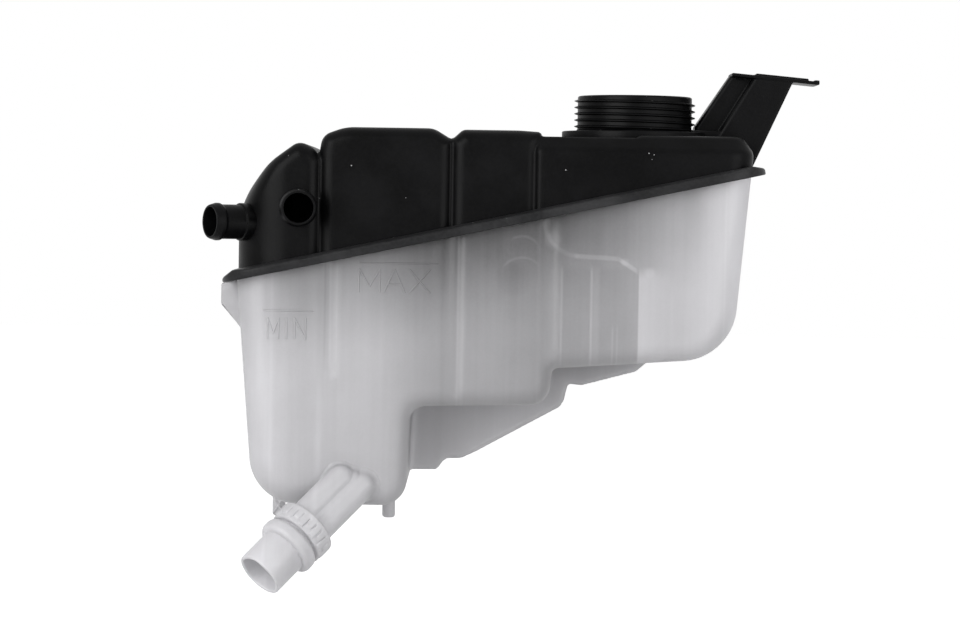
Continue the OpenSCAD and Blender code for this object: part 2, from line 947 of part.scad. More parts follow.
// Profile from edge to edge whose top slopes down to both outer edges
function roof(from, to, edge_from, edge_to) = [
    [from - flange_w, -1],
    [to + flange_w, -1],
    [to + flange_w, edge_to],
    [to, flange_h],
    [from, flange_h],
    [from - flange_w, edge_from]
];

// Flange with its skirt around the lower shell's flange, and the tongue over the hook
module flange() {
    u0 = left_x / cos(seam_angle);
    u1 = right_x / cos(seam_angle);
    on_seam()
        difference() {
            union() {
                intersection() {
                    joint_plate(flange_w, flange_h);
                    translate([0, half_d + flange_w + 1, 0])
                        rotate([90, 0, 0])
                            linear_extrude(2 * (half_d + flange_w + 1))
                                polygon(roof(u0, u1, left_edge, right_edge));
                    translate([-far, 0, 0])
                        rotate([90, 0, 90])
                            linear_extrude(2 * far)
                                polygon(roof(-half_d, half_d, flange_edge, flange_edge));
                }
                translate([0, tongue_w / 2, 0])
                    rotate([90, 0, 0])
                        linear_extrude(tongue_w)
                            polygon([
                                [u0 - tongue_l, tongue_lift],
                                [u0 - inner_flange_w, tongue_lift],
                                [u0, joint_s],
                                [u0, flange_h],
                                [u0 - tongue_l, tongue_lift + tongue_t]
                            ]);
            }
            translate([0, 0, -1])
                joint_plate(inner_flange_w + skirt_gap, joint_s + 1);
        }
}

module upper_shell() {
    color([0.09, 0.09, 0.1])
        difference() {
            union() {
                intersection() {
                    lobes(0);
                    above(joint_s);
                }
                flange();
                intersection() {
                    neck();
                    above(joint_s);
                }
                on_left_barb()
                    barb();
                on_front_barb()
                    barb();
                bracket();
            }
            upper_cavity();
            neck_bore_cut();
            on_left_barb()
                barb_bore_cut();
            on_front_barb()
                barb_bore_cut();
            plate_hole();
        }
}

lower_shell();
upper_shell();
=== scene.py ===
"""Looks of a coolant expansion tank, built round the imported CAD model.

Both shells are modelled as closed, walled mouldings from signed distances in
millimetres, then skinned, settled on the exact surface and dressed with
procedural plastics. Sizes repeat the CAD's driving dimensions.
"""

import logging
import math
from dataclasses import dataclass
from enum import Enum
from typing import Callable, Sequence, TypeAlias

import bmesh
import bpy
import numpy as np
from mathutils import Matrix, Vector


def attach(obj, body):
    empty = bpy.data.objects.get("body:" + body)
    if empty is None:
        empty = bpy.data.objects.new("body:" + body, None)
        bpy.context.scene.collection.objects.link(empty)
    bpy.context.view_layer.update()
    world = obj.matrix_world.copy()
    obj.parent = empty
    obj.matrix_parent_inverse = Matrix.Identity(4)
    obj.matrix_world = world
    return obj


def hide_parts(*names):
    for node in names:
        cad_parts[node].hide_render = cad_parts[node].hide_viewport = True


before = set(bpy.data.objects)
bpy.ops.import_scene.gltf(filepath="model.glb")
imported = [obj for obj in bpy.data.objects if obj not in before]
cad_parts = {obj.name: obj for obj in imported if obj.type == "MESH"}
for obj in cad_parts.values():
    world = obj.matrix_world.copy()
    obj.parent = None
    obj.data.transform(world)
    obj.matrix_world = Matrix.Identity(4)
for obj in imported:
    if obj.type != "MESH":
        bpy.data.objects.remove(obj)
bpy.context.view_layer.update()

MM = 0.001
BODY = "root"
LOWER_NODE = "lower_shell"
UPPER_NODE = "upper_shell"
SEAM_HEIGHT = 118.1
SEAM_SLOPE = 12.15
SEEN_RAYS = ("Camera", "Glossy", "Transmission")
WHITE = (1.0, 1.0, 1.0, 1.0)
BLACK = (0.0, 0.0, 0.0, 1.0)
NOISE_ROUGHNESS = 0.55
BUMP_STRENGTH = 0.5
RING = ((-1, -1), (1, -1), (1, 1), (-1, 1))

# A cut runs this far past the wall that it opens.
OVERSHOOT = 9.0

logging.basicConfig(level=logging.INFO, format="%(message)s")
log = logging.getLogger("tank")

Array: TypeAlias = np.ndarray
Pair: TypeAlias = tuple[float, float]
Corner: TypeAlias = tuple[float, float, float]
Point: TypeAlias = tuple[float, float, float]
Colour: TypeAlias = tuple[float, float, float]
Faces: TypeAlias = list[list[int]]
Value: TypeAlias = "Signal | float"
Place: TypeAlias = "tuple[Signal, Signal, Signal]"


def tan(degrees: float) -> float:
    """Tangent of an angle in degrees."""
    return math.tan(math.radians(degrees))


def tilt(degrees: float) -> Array:
    """Rotation about the Y axis that lowers the far end of X."""
    c, s = math.cos(math.radians(degrees)), math.sin(math.radians(degrees))
    return np.array([[c, 0.0, s], [0.0, 1.0, 0.0], [-s, 0.0, c]])


def smooth(value: Array, start: float, end: float) -> Array:
    """Rises smoothly from 0 at start to 1 at end."""
    t = np.clip((value - start) / (end - start), 0.0, 1.0)
    return t * t * (3.0 - 2.0 * t)


class Plane(Enum):
    """Plane in which an outline is drawn; its prism runs through the third axis."""

    FRONT = (0, 2)
    TOP = (0, 1)


@dataclass(frozen=True)
class Outline:
    """Closed outline of corners, each given as across, up and rounding radius."""

    corners: tuple[Corner, ...]
    least_radius: float = 0.05
    side_share: float = 0.48
    least_steps: int = 4
    steps_per_mm: float = 0.7

    def points(self) -> Array:
        """Turns the corners into a finely stepped, rounded outline.

        Returns:
            The outline's points, counter-clockwise.
        """
        found: list[Array] = []
        count = len(self.corners)
        for i, (across, up, wanted) in enumerate(self.corners):
            here = np.array((across, up))
            before = np.array(self.corners[i - 1][:2]) - here
            after = np.array(self.corners[(i + 1) % count][:2]) - here
            u = before / np.linalg.norm(before)
            v = after / np.linalg.norm(after)
            half = math.acos(np.clip(u @ v, -1.0, 1.0)) / 2
            shortest = min(np.linalg.norm(before), np.linalg.norm(after))
            radius = min(wanted, self.side_share * shortest * math.tan(half))
            if radius < self.least_radius:
                found.append(here)
                continue
            bisector = (u + v) / np.linalg.norm(u + v)
            centre = here + bisector * radius / math.sin(half)
            start = here + u * radius / math.tan(half) - centre
            end = here + v * radius / math.tan(half) - centre
            angle = math.atan2(start[1], start[0])
            turn = math.atan2(start[0] * end[1] - start[1] * end[0], start @ end)
            steps = self.least_steps + int(self.steps_per_mm * radius)
            for step in range(steps + 1):
                at = angle + turn * step / steps
                found.append(centre + radius * np.array((math.cos(at), math.sin(at))))
        return np.array(found)

    def distance(self, across: Array, up: Array) -> Array:
        """Signed distance to the outline, negative inside.

        Args:
            across: First coordinates, in millimetres.
            up: Second coordinates, in millimetres.

        Returns:
            The distances, in the shape that both coordinates broadcast to.
        """
        points = self.points()
        nearest = np.full(np.broadcast(across, up).shape, np.inf)
        sign = np.ones_like(nearest)
        for a, b in zip(points, np.roll(points, 1, axis=0)):
            edge = b - a
            wx, wy = across - a[0], up - a[1]
            t = np.clip((wx * edge[0] + wy * edge[1]) / (edge @ edge), 0.0, 1.0)
            nearest = np.minimum(nearest, (wx - edge[0] * t) ** 2 + (wy - edge[1] * t) ** 2)
            above, below = up >= a[1], up < b[1]
            left = edge[0] * wy > edge[1] * wx
            flips = (above & below & left) | (~above & ~below & ~left)
            sign = np.where(flips, -sign, sign)
        return sign * np.sqrt(nearest)


@dataclass(frozen=True)
class Solid:
    """A solid as a function that gives the signed distance at x, y and z."""

    at: Callable[[Array, Array, Array], Array]

    def __or__(self, other: "Solid") -> "Solid":
        """Joins two solids."""
        return Solid(lambda x, y, z: np.minimum(self.at(x, y, z), other.at(x, y, z)))

    def __and__(self, other: "Solid") -> "Solid":
        """Keeps what two solids share."""
        return Solid(lambda x, y, z: np.maximum(self.at(x, y, z), other.at(x, y, z)))

    def __sub__(self, other: "Solid") -> "Solid":
        """Cuts the other solid out of this one."""
        return Solid(lambda x, y, z: np.maximum(self.at(x, y, z), -other.at(x, y, z)))

    def __neg__(self) -> "Solid":
        """Turns the solid inside out."""
        return Solid(lambda x, y, z: -self.at(x, y, z))

    def grown(self, by: float) -> "Solid":
        """Offsets the surface outwards by a distance."""
        return Solid(lambda x, y, z: self.at(x, y, z) - by)

    def filleted(self, other: "Solid", radius: float) -> "Solid":
        """Joins two solids with a fillet between them.

        Args:
            other: The solid to join.
            radius: Radius of the fillet.

        Returns:
            The joined solid.
        """

        def distance(x: Array, y: Array, z: Array) -> Array:
            """Lower of both distances, rounded out where both are small.

            Args:
                x: First coordinates.
                y: Second coordinates.
                z: Third coordinates.

            Returns:
                The distances.
            """
            a, b = self.at(x, y, z), other.at(x, y, z)
            u, v = np.maximum(radius - a, 0.0), np.maximum(radius - b, 0.0)
            return np.maximum(radius, np.minimum(a, b)) - np.hypot(u, v)

        return Solid(distance)

    def rounded(self, other: "Solid", radius: float | Callable[..., Array]) -> "Solid":
        """Keeps what two solids share, with the edge between them rounded.

        Args:
            other: The solid to share with.
            radius: Radius of the edge, or a function that gives it at a place.

        Returns:
            The shared solid.
        """

        def distance(x: Array, y: Array, z: Array) -> Array:
            """Higher of both distances, rounded off where both are near nought.

            Args:
                x: First coordinates.
                y: Second coordinates.
                z: Third coordinates.

            Returns:
                The distances.
            """
            a, b = self.at(x, y, z), other.at(x, y, z)
            r = radius(x, y, z) if callable(radius) else radius
            u, v = np.maximum(r + a, 0.0), np.maximum(r + b, 0.0)
            return np.minimum(-r, np.maximum(a, b)) + np.hypot(u, v)

        return Solid(distance)

    def carved(self, other: "Solid", radius: float) -> "Solid":
        """Cuts the other solid out, with the edge of the cut rounded."""
        return self.rounded(-other, radius)


def prism(corners: Sequence[Corner], plane: Plane) -> Solid:
    """Endless prism of an outline.

    Args:
        corners: The outline's corners.
        plane: Plane in which it is drawn.

    Returns:
        The prism, which runs along the axis square to the plane.
    """
    outline = Outline(tuple(corners))
    first, second = plane.value
    return Solid(lambda *p: outline.distance(p[first], p[second]))


def between(axis: int, low: float, high: float) -> Solid:
    """Everything between two planes square to an axis."""
    middle, half = (low + high) / 2, (high - low) / 2
    return Solid(lambda *p: np.abs(p[axis] - middle) - half)


def rod(radius: float, start: Point, end: Point) -> Solid:
    """Round bar with ball ends.

    Args:
        radius: Radius of the bar and of its ends.
        start: Middle of the first ball.
        end: Middle of the last ball.

    Returns:
        The bar.
    """
    a, b = np.array(start, float), np.array(end, float)
    edge = b - a

    def distance(x: Array, y: Array, z: Array) -> Array:
        """Distance to the bar's middle line, less its radius.

        Args:
            x: First coordinates.
            y: Second coordinates.
            z: Third coordinates.

        Returns:
            The distances.
        """
        px, py, pz = x - a[0], y - a[1], z - a[2]
        t = (px * edge[0] + py * edge[1] + pz * edge[2]) / (edge @ edge)
        t = np.clip(t, 0.0, 1.0)
        dx, dy, dz = px - edge[0] * t, py - edge[1] * t, pz - edge[2] * t
        return np.sqrt(dx * dx + dy * dy + dz * dz) - radius

    return Solid(distance)


def disc(radius: float, axis: int, centre: Point, low: float, high: float, edge: float) -> Solid:
    """Round disc or cylinder along an axis, with rounded rims.

    Args:
        radius: Outer radius.
        axis: Index of the axis that it runs along.
        centre: A point on its axis.
        low: Start along the axis.
        high: End along the axis.
        edge: Radius of its rims.

    Returns:
        The solid.
    """
    others = [i for i in range(3) if i != axis]

    def radial(*p: Array) -> Array:
        """Distance to the axis, less the radius."""
        return np.hypot(p[others[0]] - centre[others[0]], p[others[1]] - centre[others[1]]) - radius

    return Solid(radial).rounded(between(axis, low, high), edge)


CUBE = [(i, j, k) for i in (0, 1) for j in (0, 1) for k in (0, 1)]
CUBE_EDGES = [
    (np.array(a), np.array(b)) for a in CUBE for b in CUBE if a < b and sum(map(abs, np.subtract(a, b))) == 1
]


@dataclass
class Skin:
    """Closed mesh over a solid, found on a grid of cells and settled on its surface."""

    solid: Solid
    low: Point
    high: Point
    step: Point
    rounds: int = 3
    nudge: float = 0.02
    least_slope: float = 0.25
    least_move: float = 1e-9

    def build(self) -> tuple[Array, Array]:
        """Finds the skin's vertices and four-sided faces.

        Returns:
            Vertices in millimetres, and faces that point outwards.
        """
        axes = [np.arange(a, b + s, s) for a, b, s in zip(self.low, self.high, self.step)]
        x, y, z = axes[0][:, None, None], axes[1][None, :, None], axes[2][None, None, :]
        shape = tuple(len(a) for a in axes)
        value = np.array(np.broadcast_to(self.solid.at(x, y, z), shape))
        inside = value < 0
        total = np.zeros([n - 1 for n in shape], int)
        for corner in CUBE:
            total += inside[tuple(slice(c, n - 1 + c) for c, n in zip(corner, shape))]
        cells = np.argwhere((total > 0) & (total < len(CUBE)))
        index = np.full(total.shape, -1)
        index[tuple(cells.T)] = np.arange(len(cells))
        spot = self.crossings(value, cells)
        vertices = np.array(self.low) + (cells + spot) * np.array(self.step)
        return self.settled(vertices), self.faces(inside, index)

    @staticmethod
    def crossings(value: Array, cells: Array) -> Array:
        """Mean place, within each cell, of where its edges cross the surface.

        Args:
            value: Distances on the whole grid.
            cells: Indices of the cells that the surface crosses.

        Returns:
            One place per cell, from 0 to 1 along each axis.
        """
        total = np.zeros((len(cells), 3))
        hits = np.zeros(len(cells))
        for a, b in CUBE_EDGES:
            start = value[tuple((cells + a).T)]
            end = value[tuple((cells + b).T)]
            crossed = (start < 0) != (end < 0)
            share = start[crossed] / (start[crossed] - end[crossed])
            total[crossed] += a + (b - a) * share[:, None]
            hits[crossed] += 1
        return total / hits[:, None]

    @staticmethod
    def faces(inside: Array, index: Array) -> Array:
        """Four-sided faces round each grid edge that crosses the surface.

        Args:
            inside: Which grid points lie in the solid.
            index: Number of the vertex in each cell.

        Returns:
            The faces, as rows of four vertex numbers.
        """
        found = []
        for axis in range(3):
            u, v = (axis + 1) % 3, (axis + 2) % 3
            near = np.take(inside, range(inside.shape[axis] - 1), axis)
            beyond = np.take(inside, range(1, inside.shape[axis]), axis)
            edges = np.argwhere(near != beyond)
            keep = (edges[:, u] > 0) & (edges[:, v] > 0)
            keep &= (edges[:, u] < inside.shape[u] - 1) & (edges[:, v] < inside.shape[v] - 1)
            edges = edges[keep]
            outward = near[tuple(edges.T)]
            du, dv = np.eye(3, dtype=int)[u], np.eye(3, dtype=int)[v]
            ring = [index[tuple((edges - shift).T)] for shift in (du + dv, dv, 0 * du, du)]
            quads = np.stack(ring, axis=1)
            quads[~outward] = quads[~outward][:, ::-1]
            found.append(quads)
        return np.concatenate(found)

    def settled(self, points: Array) -> Array:
        """Moves points onto the exact surface, by at most half a cell a round.

        Args:
            points: Vertices near the surface.

        Returns:
            The moved vertices.
        """
        reach = 0.5 * min(self.step)
        for _ in range(self.rounds):
            distance = self.solid.at(*points.T)
            slope = np.empty_like(points)
            for axis in range(3):
                shift = np.zeros(3)
                shift[axis] = self.nudge
                ahead = self.solid.at(*(points + shift).T)
                behind = self.solid.at(*(points - shift).T)
                slope[:, axis] = (ahead - behind) / (2 * self.nudge)
            steep = np.maximum((slope**2).sum(axis=1), self.least_slope)
            move = slope * (distance / steep)[:, None]
            length = np.maximum(np.linalg.norm(move, axis=1), self.least_move)
            points = points - move * np.minimum(1.0, reach / length)[:, None]
        return points


def smooth_shaded(mesh: bpy.types.Mesh) -> None:
    """Shades every face of a mesh smoothly."""
    mesh.polygons.foreach_set("use_smooth", [True] * len(mesh.polygons))
    mesh.update()


def add_mesh(
    name: str, vertices: Array, faces: Sequence[Sequence[int]], material: bpy.types.Material
) -> bpy.types.Object:
    """Adds a smooth-shaded mesh object.

    Args:
        name: Name of the object and of its mesh.
        vertices: Places in millimetres.
        faces: Vertex numbers of each face.
        material: Material of all its faces.

    Returns:
        The object, at the origin.
    """
    mesh = bpy.data.meshes.new(name)
    mesh.from_pydata((np.asarray(vertices) * MM).tolist(), [], [list(map(int, f)) for f in faces])
    mesh.materials.append(material)
    smooth_shaded(mesh)
    obj = bpy.data.objects.new(name, mesh)
    bpy.context.scene.collection.objects.link(obj)
    return obj


def place_piece(obj: bpy.types.Object, node: str) -> None:
    """Lets a piece ride on the tank and hides the CAD node that it stands in for.

    Args:
        obj: The finished piece.
        node: CAD node that it stands for.
    """
    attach(obj, BODY)
    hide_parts(node)
    log.info("%-22s %7d faces", obj.name, len(obj.data.polygons))


def banded(rows: int, count: int) -> Faces:
    """Faces between rows of vertices that close both ways, as on a ring.

    Args:
        rows: Number of rows.
        count: Number of vertices in each row.

    Returns:
        The four-sided faces.
    """
    faces = []
    for i in range(rows):
        a, b = i * count, (i + 1) % rows * count
        faces += [[a + k, a + (k + 1) % count, b + (k + 1) % count, b + k] for k in range(count)]
    return faces


def turned(profile: Sequence[Pair], steps: int) -> tuple[Array, Faces]:
    """Turns a closed profile of radius and height round the Z axis.

    Args:
        profile: Corners as radius and height, counter-clockwise seen with Z up.
        steps: Number of faces round the axis.

    Returns:
        Vertices and faces of the closed ring.
    """
    angles = np.arange(steps) * 2 * math.pi / steps
    rows = [(r * np.cos(angles), r * np.sin(angles), np.full(steps, h)) for r, h in profile]
    vertices = np.concatenate([np.stack(row, axis=1) for row in rows])
    return vertices, banded(len(profile), steps)


def softened(corners: Sequence[Corner]) -> list[Pair]:
    """Closed profile with rounded corners, as plain pairs."""
    return [tuple(p) for p in Outline(tuple(corners)).points()]


def shaded(obj: bpy.types.Object, sharp: float = 38.0) -> bpy.types.Object:
    """Shades an object smoothly, apart from edges sharper than an angle in degrees."""
    obj.data.set_sharp_from_angle(angle=math.radians(sharp))
    return obj


def frame_of(direction: Point) -> Array:
    """Rotation whose third column is a level direction.

    Args:
        direction: The direction, which needs no unit length.

    Returns:
        The rotation, as a 3 by 3 array.
    """
    z = np.array(direction, float)
    z /= np.linalg.norm(z)
    x = np.cross((0.0, 0.0, 1.0), z)
    x /= np.linalg.norm(x)
    return np.stack((x, np.cross(z, x), z), axis=1)


def placed(vertices: Array, rotation: Array, origin: Point) -> Array:
    """Moves vertices from a local frame to the tank's frame."""
    return np.asarray(vertices) @ rotation.T + np.array(origin)


def local(solid: Solid, rotation: Array, origin: Point) -> Solid:
    """A solid that is given in a local frame, seen from the tank's frame.

    Args:
        solid: The solid in its own frame.
        rotation: The frame's axes, as columns.
        origin: The frame's origin.

    Returns:
        The placed solid.
    """
    ox, oy, oz = origin
    r = rotation

    def distance(x: Array, y: Array, z: Array) -> Array:
        """Distance at a place that is first turned into the local frame."""
        dx, dy, dz = x - ox, y - oy, z - oz
        return solid.at(
            dx * r[0, 0] + dy * r[1, 0] + dz * r[2, 0],
            dx * r[0, 1] + dy * r[1, 1] + dz * r[2, 1],
            dx * r[0, 2] + dy * r[1, 2] + dz * r[2, 2],
        )

    return Solid(distance)


def block(low: Point, high: Point, edge: float) -> Solid:
    """Rectangular block with rounded edges."""
    sides = [between(i, low[i], high[i]) for i in range(3)]
    return sides[0].rounded(sides[1], edge).rounded(sides[2], edge)


def bevelled(corners: Sequence[Pair], width: float, bevel: float) -> tuple[Array, Faces]:
    """Extrudes an outline evenly to both sides and bevels all its edges.

    Args:
        corners: The outline as X and Z, counter-clockwise seen from the front.
        width: Length of the extrusion along Y.
        bevel: Width of the bevel.

    Returns:
        Vertices and faces.
    """
    shape = bmesh.new()
    count = len(corners)
    ends = [[shape.verts.new((a, b, h)) for a, b in corners] for h in (-width / 2, width / 2)]
    shape.faces.new(ends[0][::-1])
    shape.faces.new(ends[1])
    for i in range(count):
        k = (i + 1) % count
        shape.faces.new((ends[0][i], ends[0][k], ends[1][k], ends[1][i]))
    bmesh.ops.bevel(shape, geom=list(shape.edges), offset=bevel, segments=3, profile=0.5, affect="EDGES")
    bmesh.ops.recalc_face_normals(shape, faces=list(shape.faces))
    shape.verts.index_update()
    vertices = np.array([(v.co.x, -v.co.z, v.co.y) for v in shape.verts])
    faces = [[v.index for v in f.verts] for f in shape.faces]
    shape.free()
    return vertices, faces


class GeometryTree:
    """Geometry Nodes tree with named number inputs, built and applied once."""

    def __init__(self, name: str, *inputs: str) -> None:
        """Opens the tree and its inputs.

        Args:
            name: Name of the tree and of the object it makes.
            inputs: Names of the tree's number inputs.
        """
        self.name = name
        self.tree = bpy.data.node_groups.new(name, "GeometryNodeTree")
        self.tree.interface.new_socket("Geometry", in_out="OUTPUT", socket_type="NodeSocketGeometry")
        for label in inputs:
            self.tree.interface.new_socket(label, in_out="INPUT", socket_type="NodeSocketFloat")
        self.inputs = self.tree.nodes.new("NodeGroupInput")

    def __getitem__(self, label: str) -> bpy.types.NodeSocket:
        """The socket of a named input."""
        return self.inputs.outputs[label]

    def node(
        self, kind: str, settings: dict | None = None, output: int | str = 0, **values: object
    ) -> bpy.types.NodeSocket:
        """Adds a node.

        Args:
            kind: Type of the node.
            settings: Properties, set before the sockets.
            output: Which output to give back.
            values: Socket values or links, by name.

        Returns:
            The chosen output socket.
        """
        node = self.tree.nodes.new(kind)
        for key, value in (settings or {}).items():
            setattr(node, key, value)
        for label, value in values.items():
            socket = next(s for s in node.inputs if s.name == label and s.enabled)
            for item in value if isinstance(value, list) else [value]:
                if isinstance(item, bpy.types.NodeSocket):
                    self.tree.links.new(item, socket)
                else:
                    socket.default_value = item
        return node.outputs[output]

    def swept(self, path: bpy.types.NodeSocket, section: bpy.types.NodeSocket) -> bpy.types.NodeSocket:
        """Sweeps a closed section along paths, with closed ends."""
        values = {"Profile Curve": section, "Fill Caps": True}
        return self.node("GeometryNodeCurveToMesh", Curve=path, **values)

    def build(
        self, result: bpy.types.NodeSocket, material: bpy.types.Material, values: dict[str, float]
    ) -> bpy.types.Object:
        """Evaluates the tree on an empty mesh and keeps the outcome as a plain object.

        Args:
            result: Geometry to give out.
            material: Material of all its faces.
            values: Values of the named inputs.

        Returns:
            The finished object, without a modifier.
        """
        real = self.node("GeometryNodeRealizeInstances", Geometry=result)
        dressed = self.node("GeometryNodeSetMaterial", Geometry=real, Material=material)
        self.tree.links.new(dressed, self.tree.nodes.new("NodeGroupOutput").inputs[0])
        obj = bpy.data.objects.new(self.name, bpy.data.meshes.new(self.name + "_empty"))
        bpy.context.scene.collection.objects.link(obj)
        modifier = obj.modifiers.new("build", "NODES")
        modifier.node_group = self.tree
        for item in self.tree.interface.items_tree:
            if item.in_out == "INPUT":
                modifier[item.identifier] = float(values[item.name])
        graph = bpy.context.evaluated_depsgraph_get()
        mesh = bpy.data.meshes.new_from_object(obj.evaluated_get(graph))
        obj.modifiers.remove(modifier)
        obj.data = mesh
        mesh.name = self.name
        smooth_shaded(mesh)
        return obj


class Signal:
    """A value inside a shader tree, with arithmetic between signals and plain numbers."""

    def __init__(self, tree: "ShaderTree", socket: bpy.types.NodeSocket) -> None:
        """Keeps the tree and the socket that gives the value."""
        self.tree = tree
        self.socket = socket

    def math(self, operation: str, first: Value, second: Value = 0.0) -> "Signal":
        """Adds one Math node and gives its result."""
        return self.tree.node("ShaderNodeMath", {"operation": operation}, **{"0": first, "1": second})

    def __add__(self, other: Value) -> "Signal":
        """Sum."""
        return self.math("ADD", self, other)

    __radd__ = __add__

    def __sub__(self, other: Value) -> "Signal":
        """Difference."""
        return self.math("SUBTRACT", self, other)

    def __rsub__(self, other: Value) -> "Signal":
        """Difference from a plain number."""
        return self.math("SUBTRACT", other, self)

    def __mul__(self, other: Value) -> "Signal":
        """Product."""
        return self.math("MULTIPLY", self, other)

    __rmul__ = __mul__

    def __truediv__(self, other: Value) -> "Signal":
        """Quotient."""
        return self.math("DIVIDE", self, other)

    def __rtruediv__(self, other: Value) -> "Signal":
        """Quotient of a plain number."""
        return self.math("DIVIDE", other, self)

    def most(self, other: Value) -> "Signal":
        """The higher of two values."""
        return self.math("MAXIMUM", self, other)

    def size(self) -> "Signal":
        """Value without its sign."""
        return self.math("ABSOLUTE", self)

    def root(self) -> "Signal":
        """Square root."""
        return self.math("SQRT", self)

    def ramp(self, start: float, end: float) -> "Signal":
        """Goes smoothly from nought to one.

        Args:
            start: Where it leaves nought.
            end: Where it reaches one, before or after the start.

        Returns:
            The share at this signal.
        """
        low, high = (0.0, 1.0) if start < end else (1.0, 0.0)
        first, last = min(start, end), max(start, end)
        sockets = {"Value": self, "From Min": first, "From Max": last, "To Min": low, "To Max": high}
        return self.tree.node("ShaderNodeMapRange", {"interpolation_type": "SMOOTHSTEP"}, **sockets)


class ShaderTree:
    """Shader tree of a material or a world under construction."""

    def __init__(self, owner: bpy.types.Material | bpy.types.World) -> None:
        """Opens the owner's tree and clears it.

        Args:
            owner: The new material or world.
        """
        self.owner = owner
        owner.use_nodes = True
        self.tree = owner.node_tree
        self.tree.nodes.clear()

    def node(
        self, kind: str, settings: dict | None = None, output: int | str = 0, **values: object
    ) -> Signal:
        """Adds a node.

        Args:
            kind: Type of the node.
            settings: Properties, set before the sockets.
            output: Which output to give back.
            values: Socket values or signals, by name or by number.

        Returns:
            The chosen output.
        """
        node = self.tree.nodes.new(kind)
        for key, value in (settings or {}).items():
            setattr(node, key, value)
        for label, value in values.items():
            found = [s for s in node.inputs if s.name == label and s.enabled]
            socket = node.inputs[int(label)] if label.isdigit() else found[0]
            if isinstance(value, Signal):
                self.tree.links.new(value.socket, socket)
            else:
                socket.default_value = value
        return Signal(self, node.outputs[output])

    def place(self) -> Place:
        """Reads the object coordinates.

        Returns:
            X, Y and Z in millimetres.
        """
        found = self.node("ShaderNodeTexCoord", output="Object")
        split = [self.node("ShaderNodeSeparateXYZ", output=axis, Vector=found) for axis in "XYZ"]
        return tuple(along / MM for along in split)

    def seen(self) -> Signal:
        """One for the rays that show the plain background, nought for all others."""
        rays = [self.node("ShaderNodeLightPath", output=f"Is {kind} Ray") for kind in SEEN_RAYS]
        return rays[0].most(rays[1]).most(rays[2])

    def vector(self, spot: Place) -> Signal:
        """Joins three values into a vector."""
        return self.node("ShaderNodeCombineXYZ", X=spot[0], Y=spot[1], Z=spot[2])

    def noise(self, spot: Place, detail: float) -> Signal:
        """Even noise around one half at a place given in its own units."""
        values = {"Vector": self.vector(spot), "Scale": 1.0, "Detail": detail, "Roughness": NOISE_ROUGHNESS}
        return self.node("ShaderNodeTexNoise", **values)

    def grains(self, spot: Place) -> Signal:
        """Distance to the nearest of many scattered points."""
        values = {"Vector": self.vector(spot), "Scale": 1.0}
        return self.node("ShaderNodeTexVoronoi", {"feature": "F1"}, output="Distance", **values)

    def blend(self, factor: Value, first: object, second: object) -> Signal:
        """Mixes two colours."""
        values = {"0": factor, "6": first, "7": second}
        return self.node("ShaderNodeMix", {"data_type": "RGBA"}, output=2, **values)

    def bump(self, height: Signal) -> Signal:
        """Normal from a height in millimetres."""
        values = {"Height": height, "Distance": MM, "Strength": BUMP_STRENGTH}
        return self.node("ShaderNodeBump", output="Normal", **values)

    def finish(
        self, shader: Signal, kind: str = "ShaderNodeOutputMaterial"
    ) -> bpy.types.Material | bpy.types.World:
        """Closes the tree with its surface shader.

        Args:
            shader: The surface shader.
            kind: Type of the output node.

        Returns:
            The finished material or world.
        """
        out = self.tree.nodes.new(kind)
        self.tree.links.new(shader.socket, out.inputs["Surface"])
        return self.owner


def scaled(spot: Place, *sizes: float) -> Place:
    """Place in units of three sizes, or of one for all."""
    spans = sizes * 3 if len(sizes) == 1 else sizes
    return tuple(p * (1.0 / s) for p, s in zip(spot, spans))


@dataclass(frozen=True)
class Grain:
    """Noise of one or three sizes in millimetres, which swings to both sides of nought."""

    sizes: tuple[float, ...]
    detail: float
    tone: float

    def on(self, tree: ShaderTree, spot: Place) -> Signal:
        """The noise at a place."""
        return (tree.noise(scaled(spot, *self.sizes), self.detail) - 0.5) * self.tone


@dataclass(frozen=True)
class Rise:
    """Tone that comes in smoothly along an axis."""

    start: float
    end: float
    tone: float

    def on(self, along: Signal) -> Signal:
        """The tone at a coordinate."""
        return along.ramp(self.start, self.end) * self.tone


@dataclass(frozen=True)
class Arc:
    """Soft line along a circle on the front wall."""

    centre: Pair
    radius: float
    width: float
    core: float = 0.2

    def on(self, x: Signal, z: Signal) -> Signal:
        """One on the line and nought beside it.

        Args:
            x: Place along the tank.
            z: Height.

        Returns:
            The share of the line's tone.
        """
        across, up = x - self.centre[0], z - self.centre[1]
        out = (across * across + up * up).root()
        return (out - self.radius).size().ramp(self.width, self.core * self.width)


@dataclass(frozen=True)
class Spot:
    """Soft round spot on the front wall."""

    centre: Pair
    radius: float

    def on(self, x: Signal, z: Signal) -> Signal:
        """One in the middle and nought outside."""
        across, up = x - self.centre[0], z - self.centre[1]
        return (across * across + up * up).ramp(self.radius**2, 0.0)


@dataclass(frozen=True)
class Slant:
    """Soft straight line on the front wall that falls to the right."""

    start: Pair
    fall: float
    width: float
    core: float = 0.5

    def on(self, x: Signal, z: Signal) -> Signal:
        """One on the line and nought beside it."""
        above = z + (x - self.start[0]) * self.fall - self.start[1]
        return above.size().ramp(self.width, self.core)


@dataclass(frozen=True)
class Mark:
    """Tone within soft limits along the axes and, where it has one, within a shape."""

    tone: float
    x: tuple[Pair, ...] = ()
    z: tuple[Pair, ...] = ()
    y: tuple[Pair, ...] = ()
    shape: Arc | Spot | Slant | None = None

    def on(self, spot: Place) -> Signal:
        """The tone at a place.

        Args:
            spot: X, Y and Z in millimetres.

        Returns:
            The tone, nought outside the limits and the shape.
        """
        limits = zip(spot, (self.x, self.y, self.z))
        parts = [along.ramp(*pair) for along, pairs in limits for pair in pairs]
        if self.shape:
            parts.append(self.shape.on(spot[0], spot[2]))
        return math.prod(parts, start=self.tone)


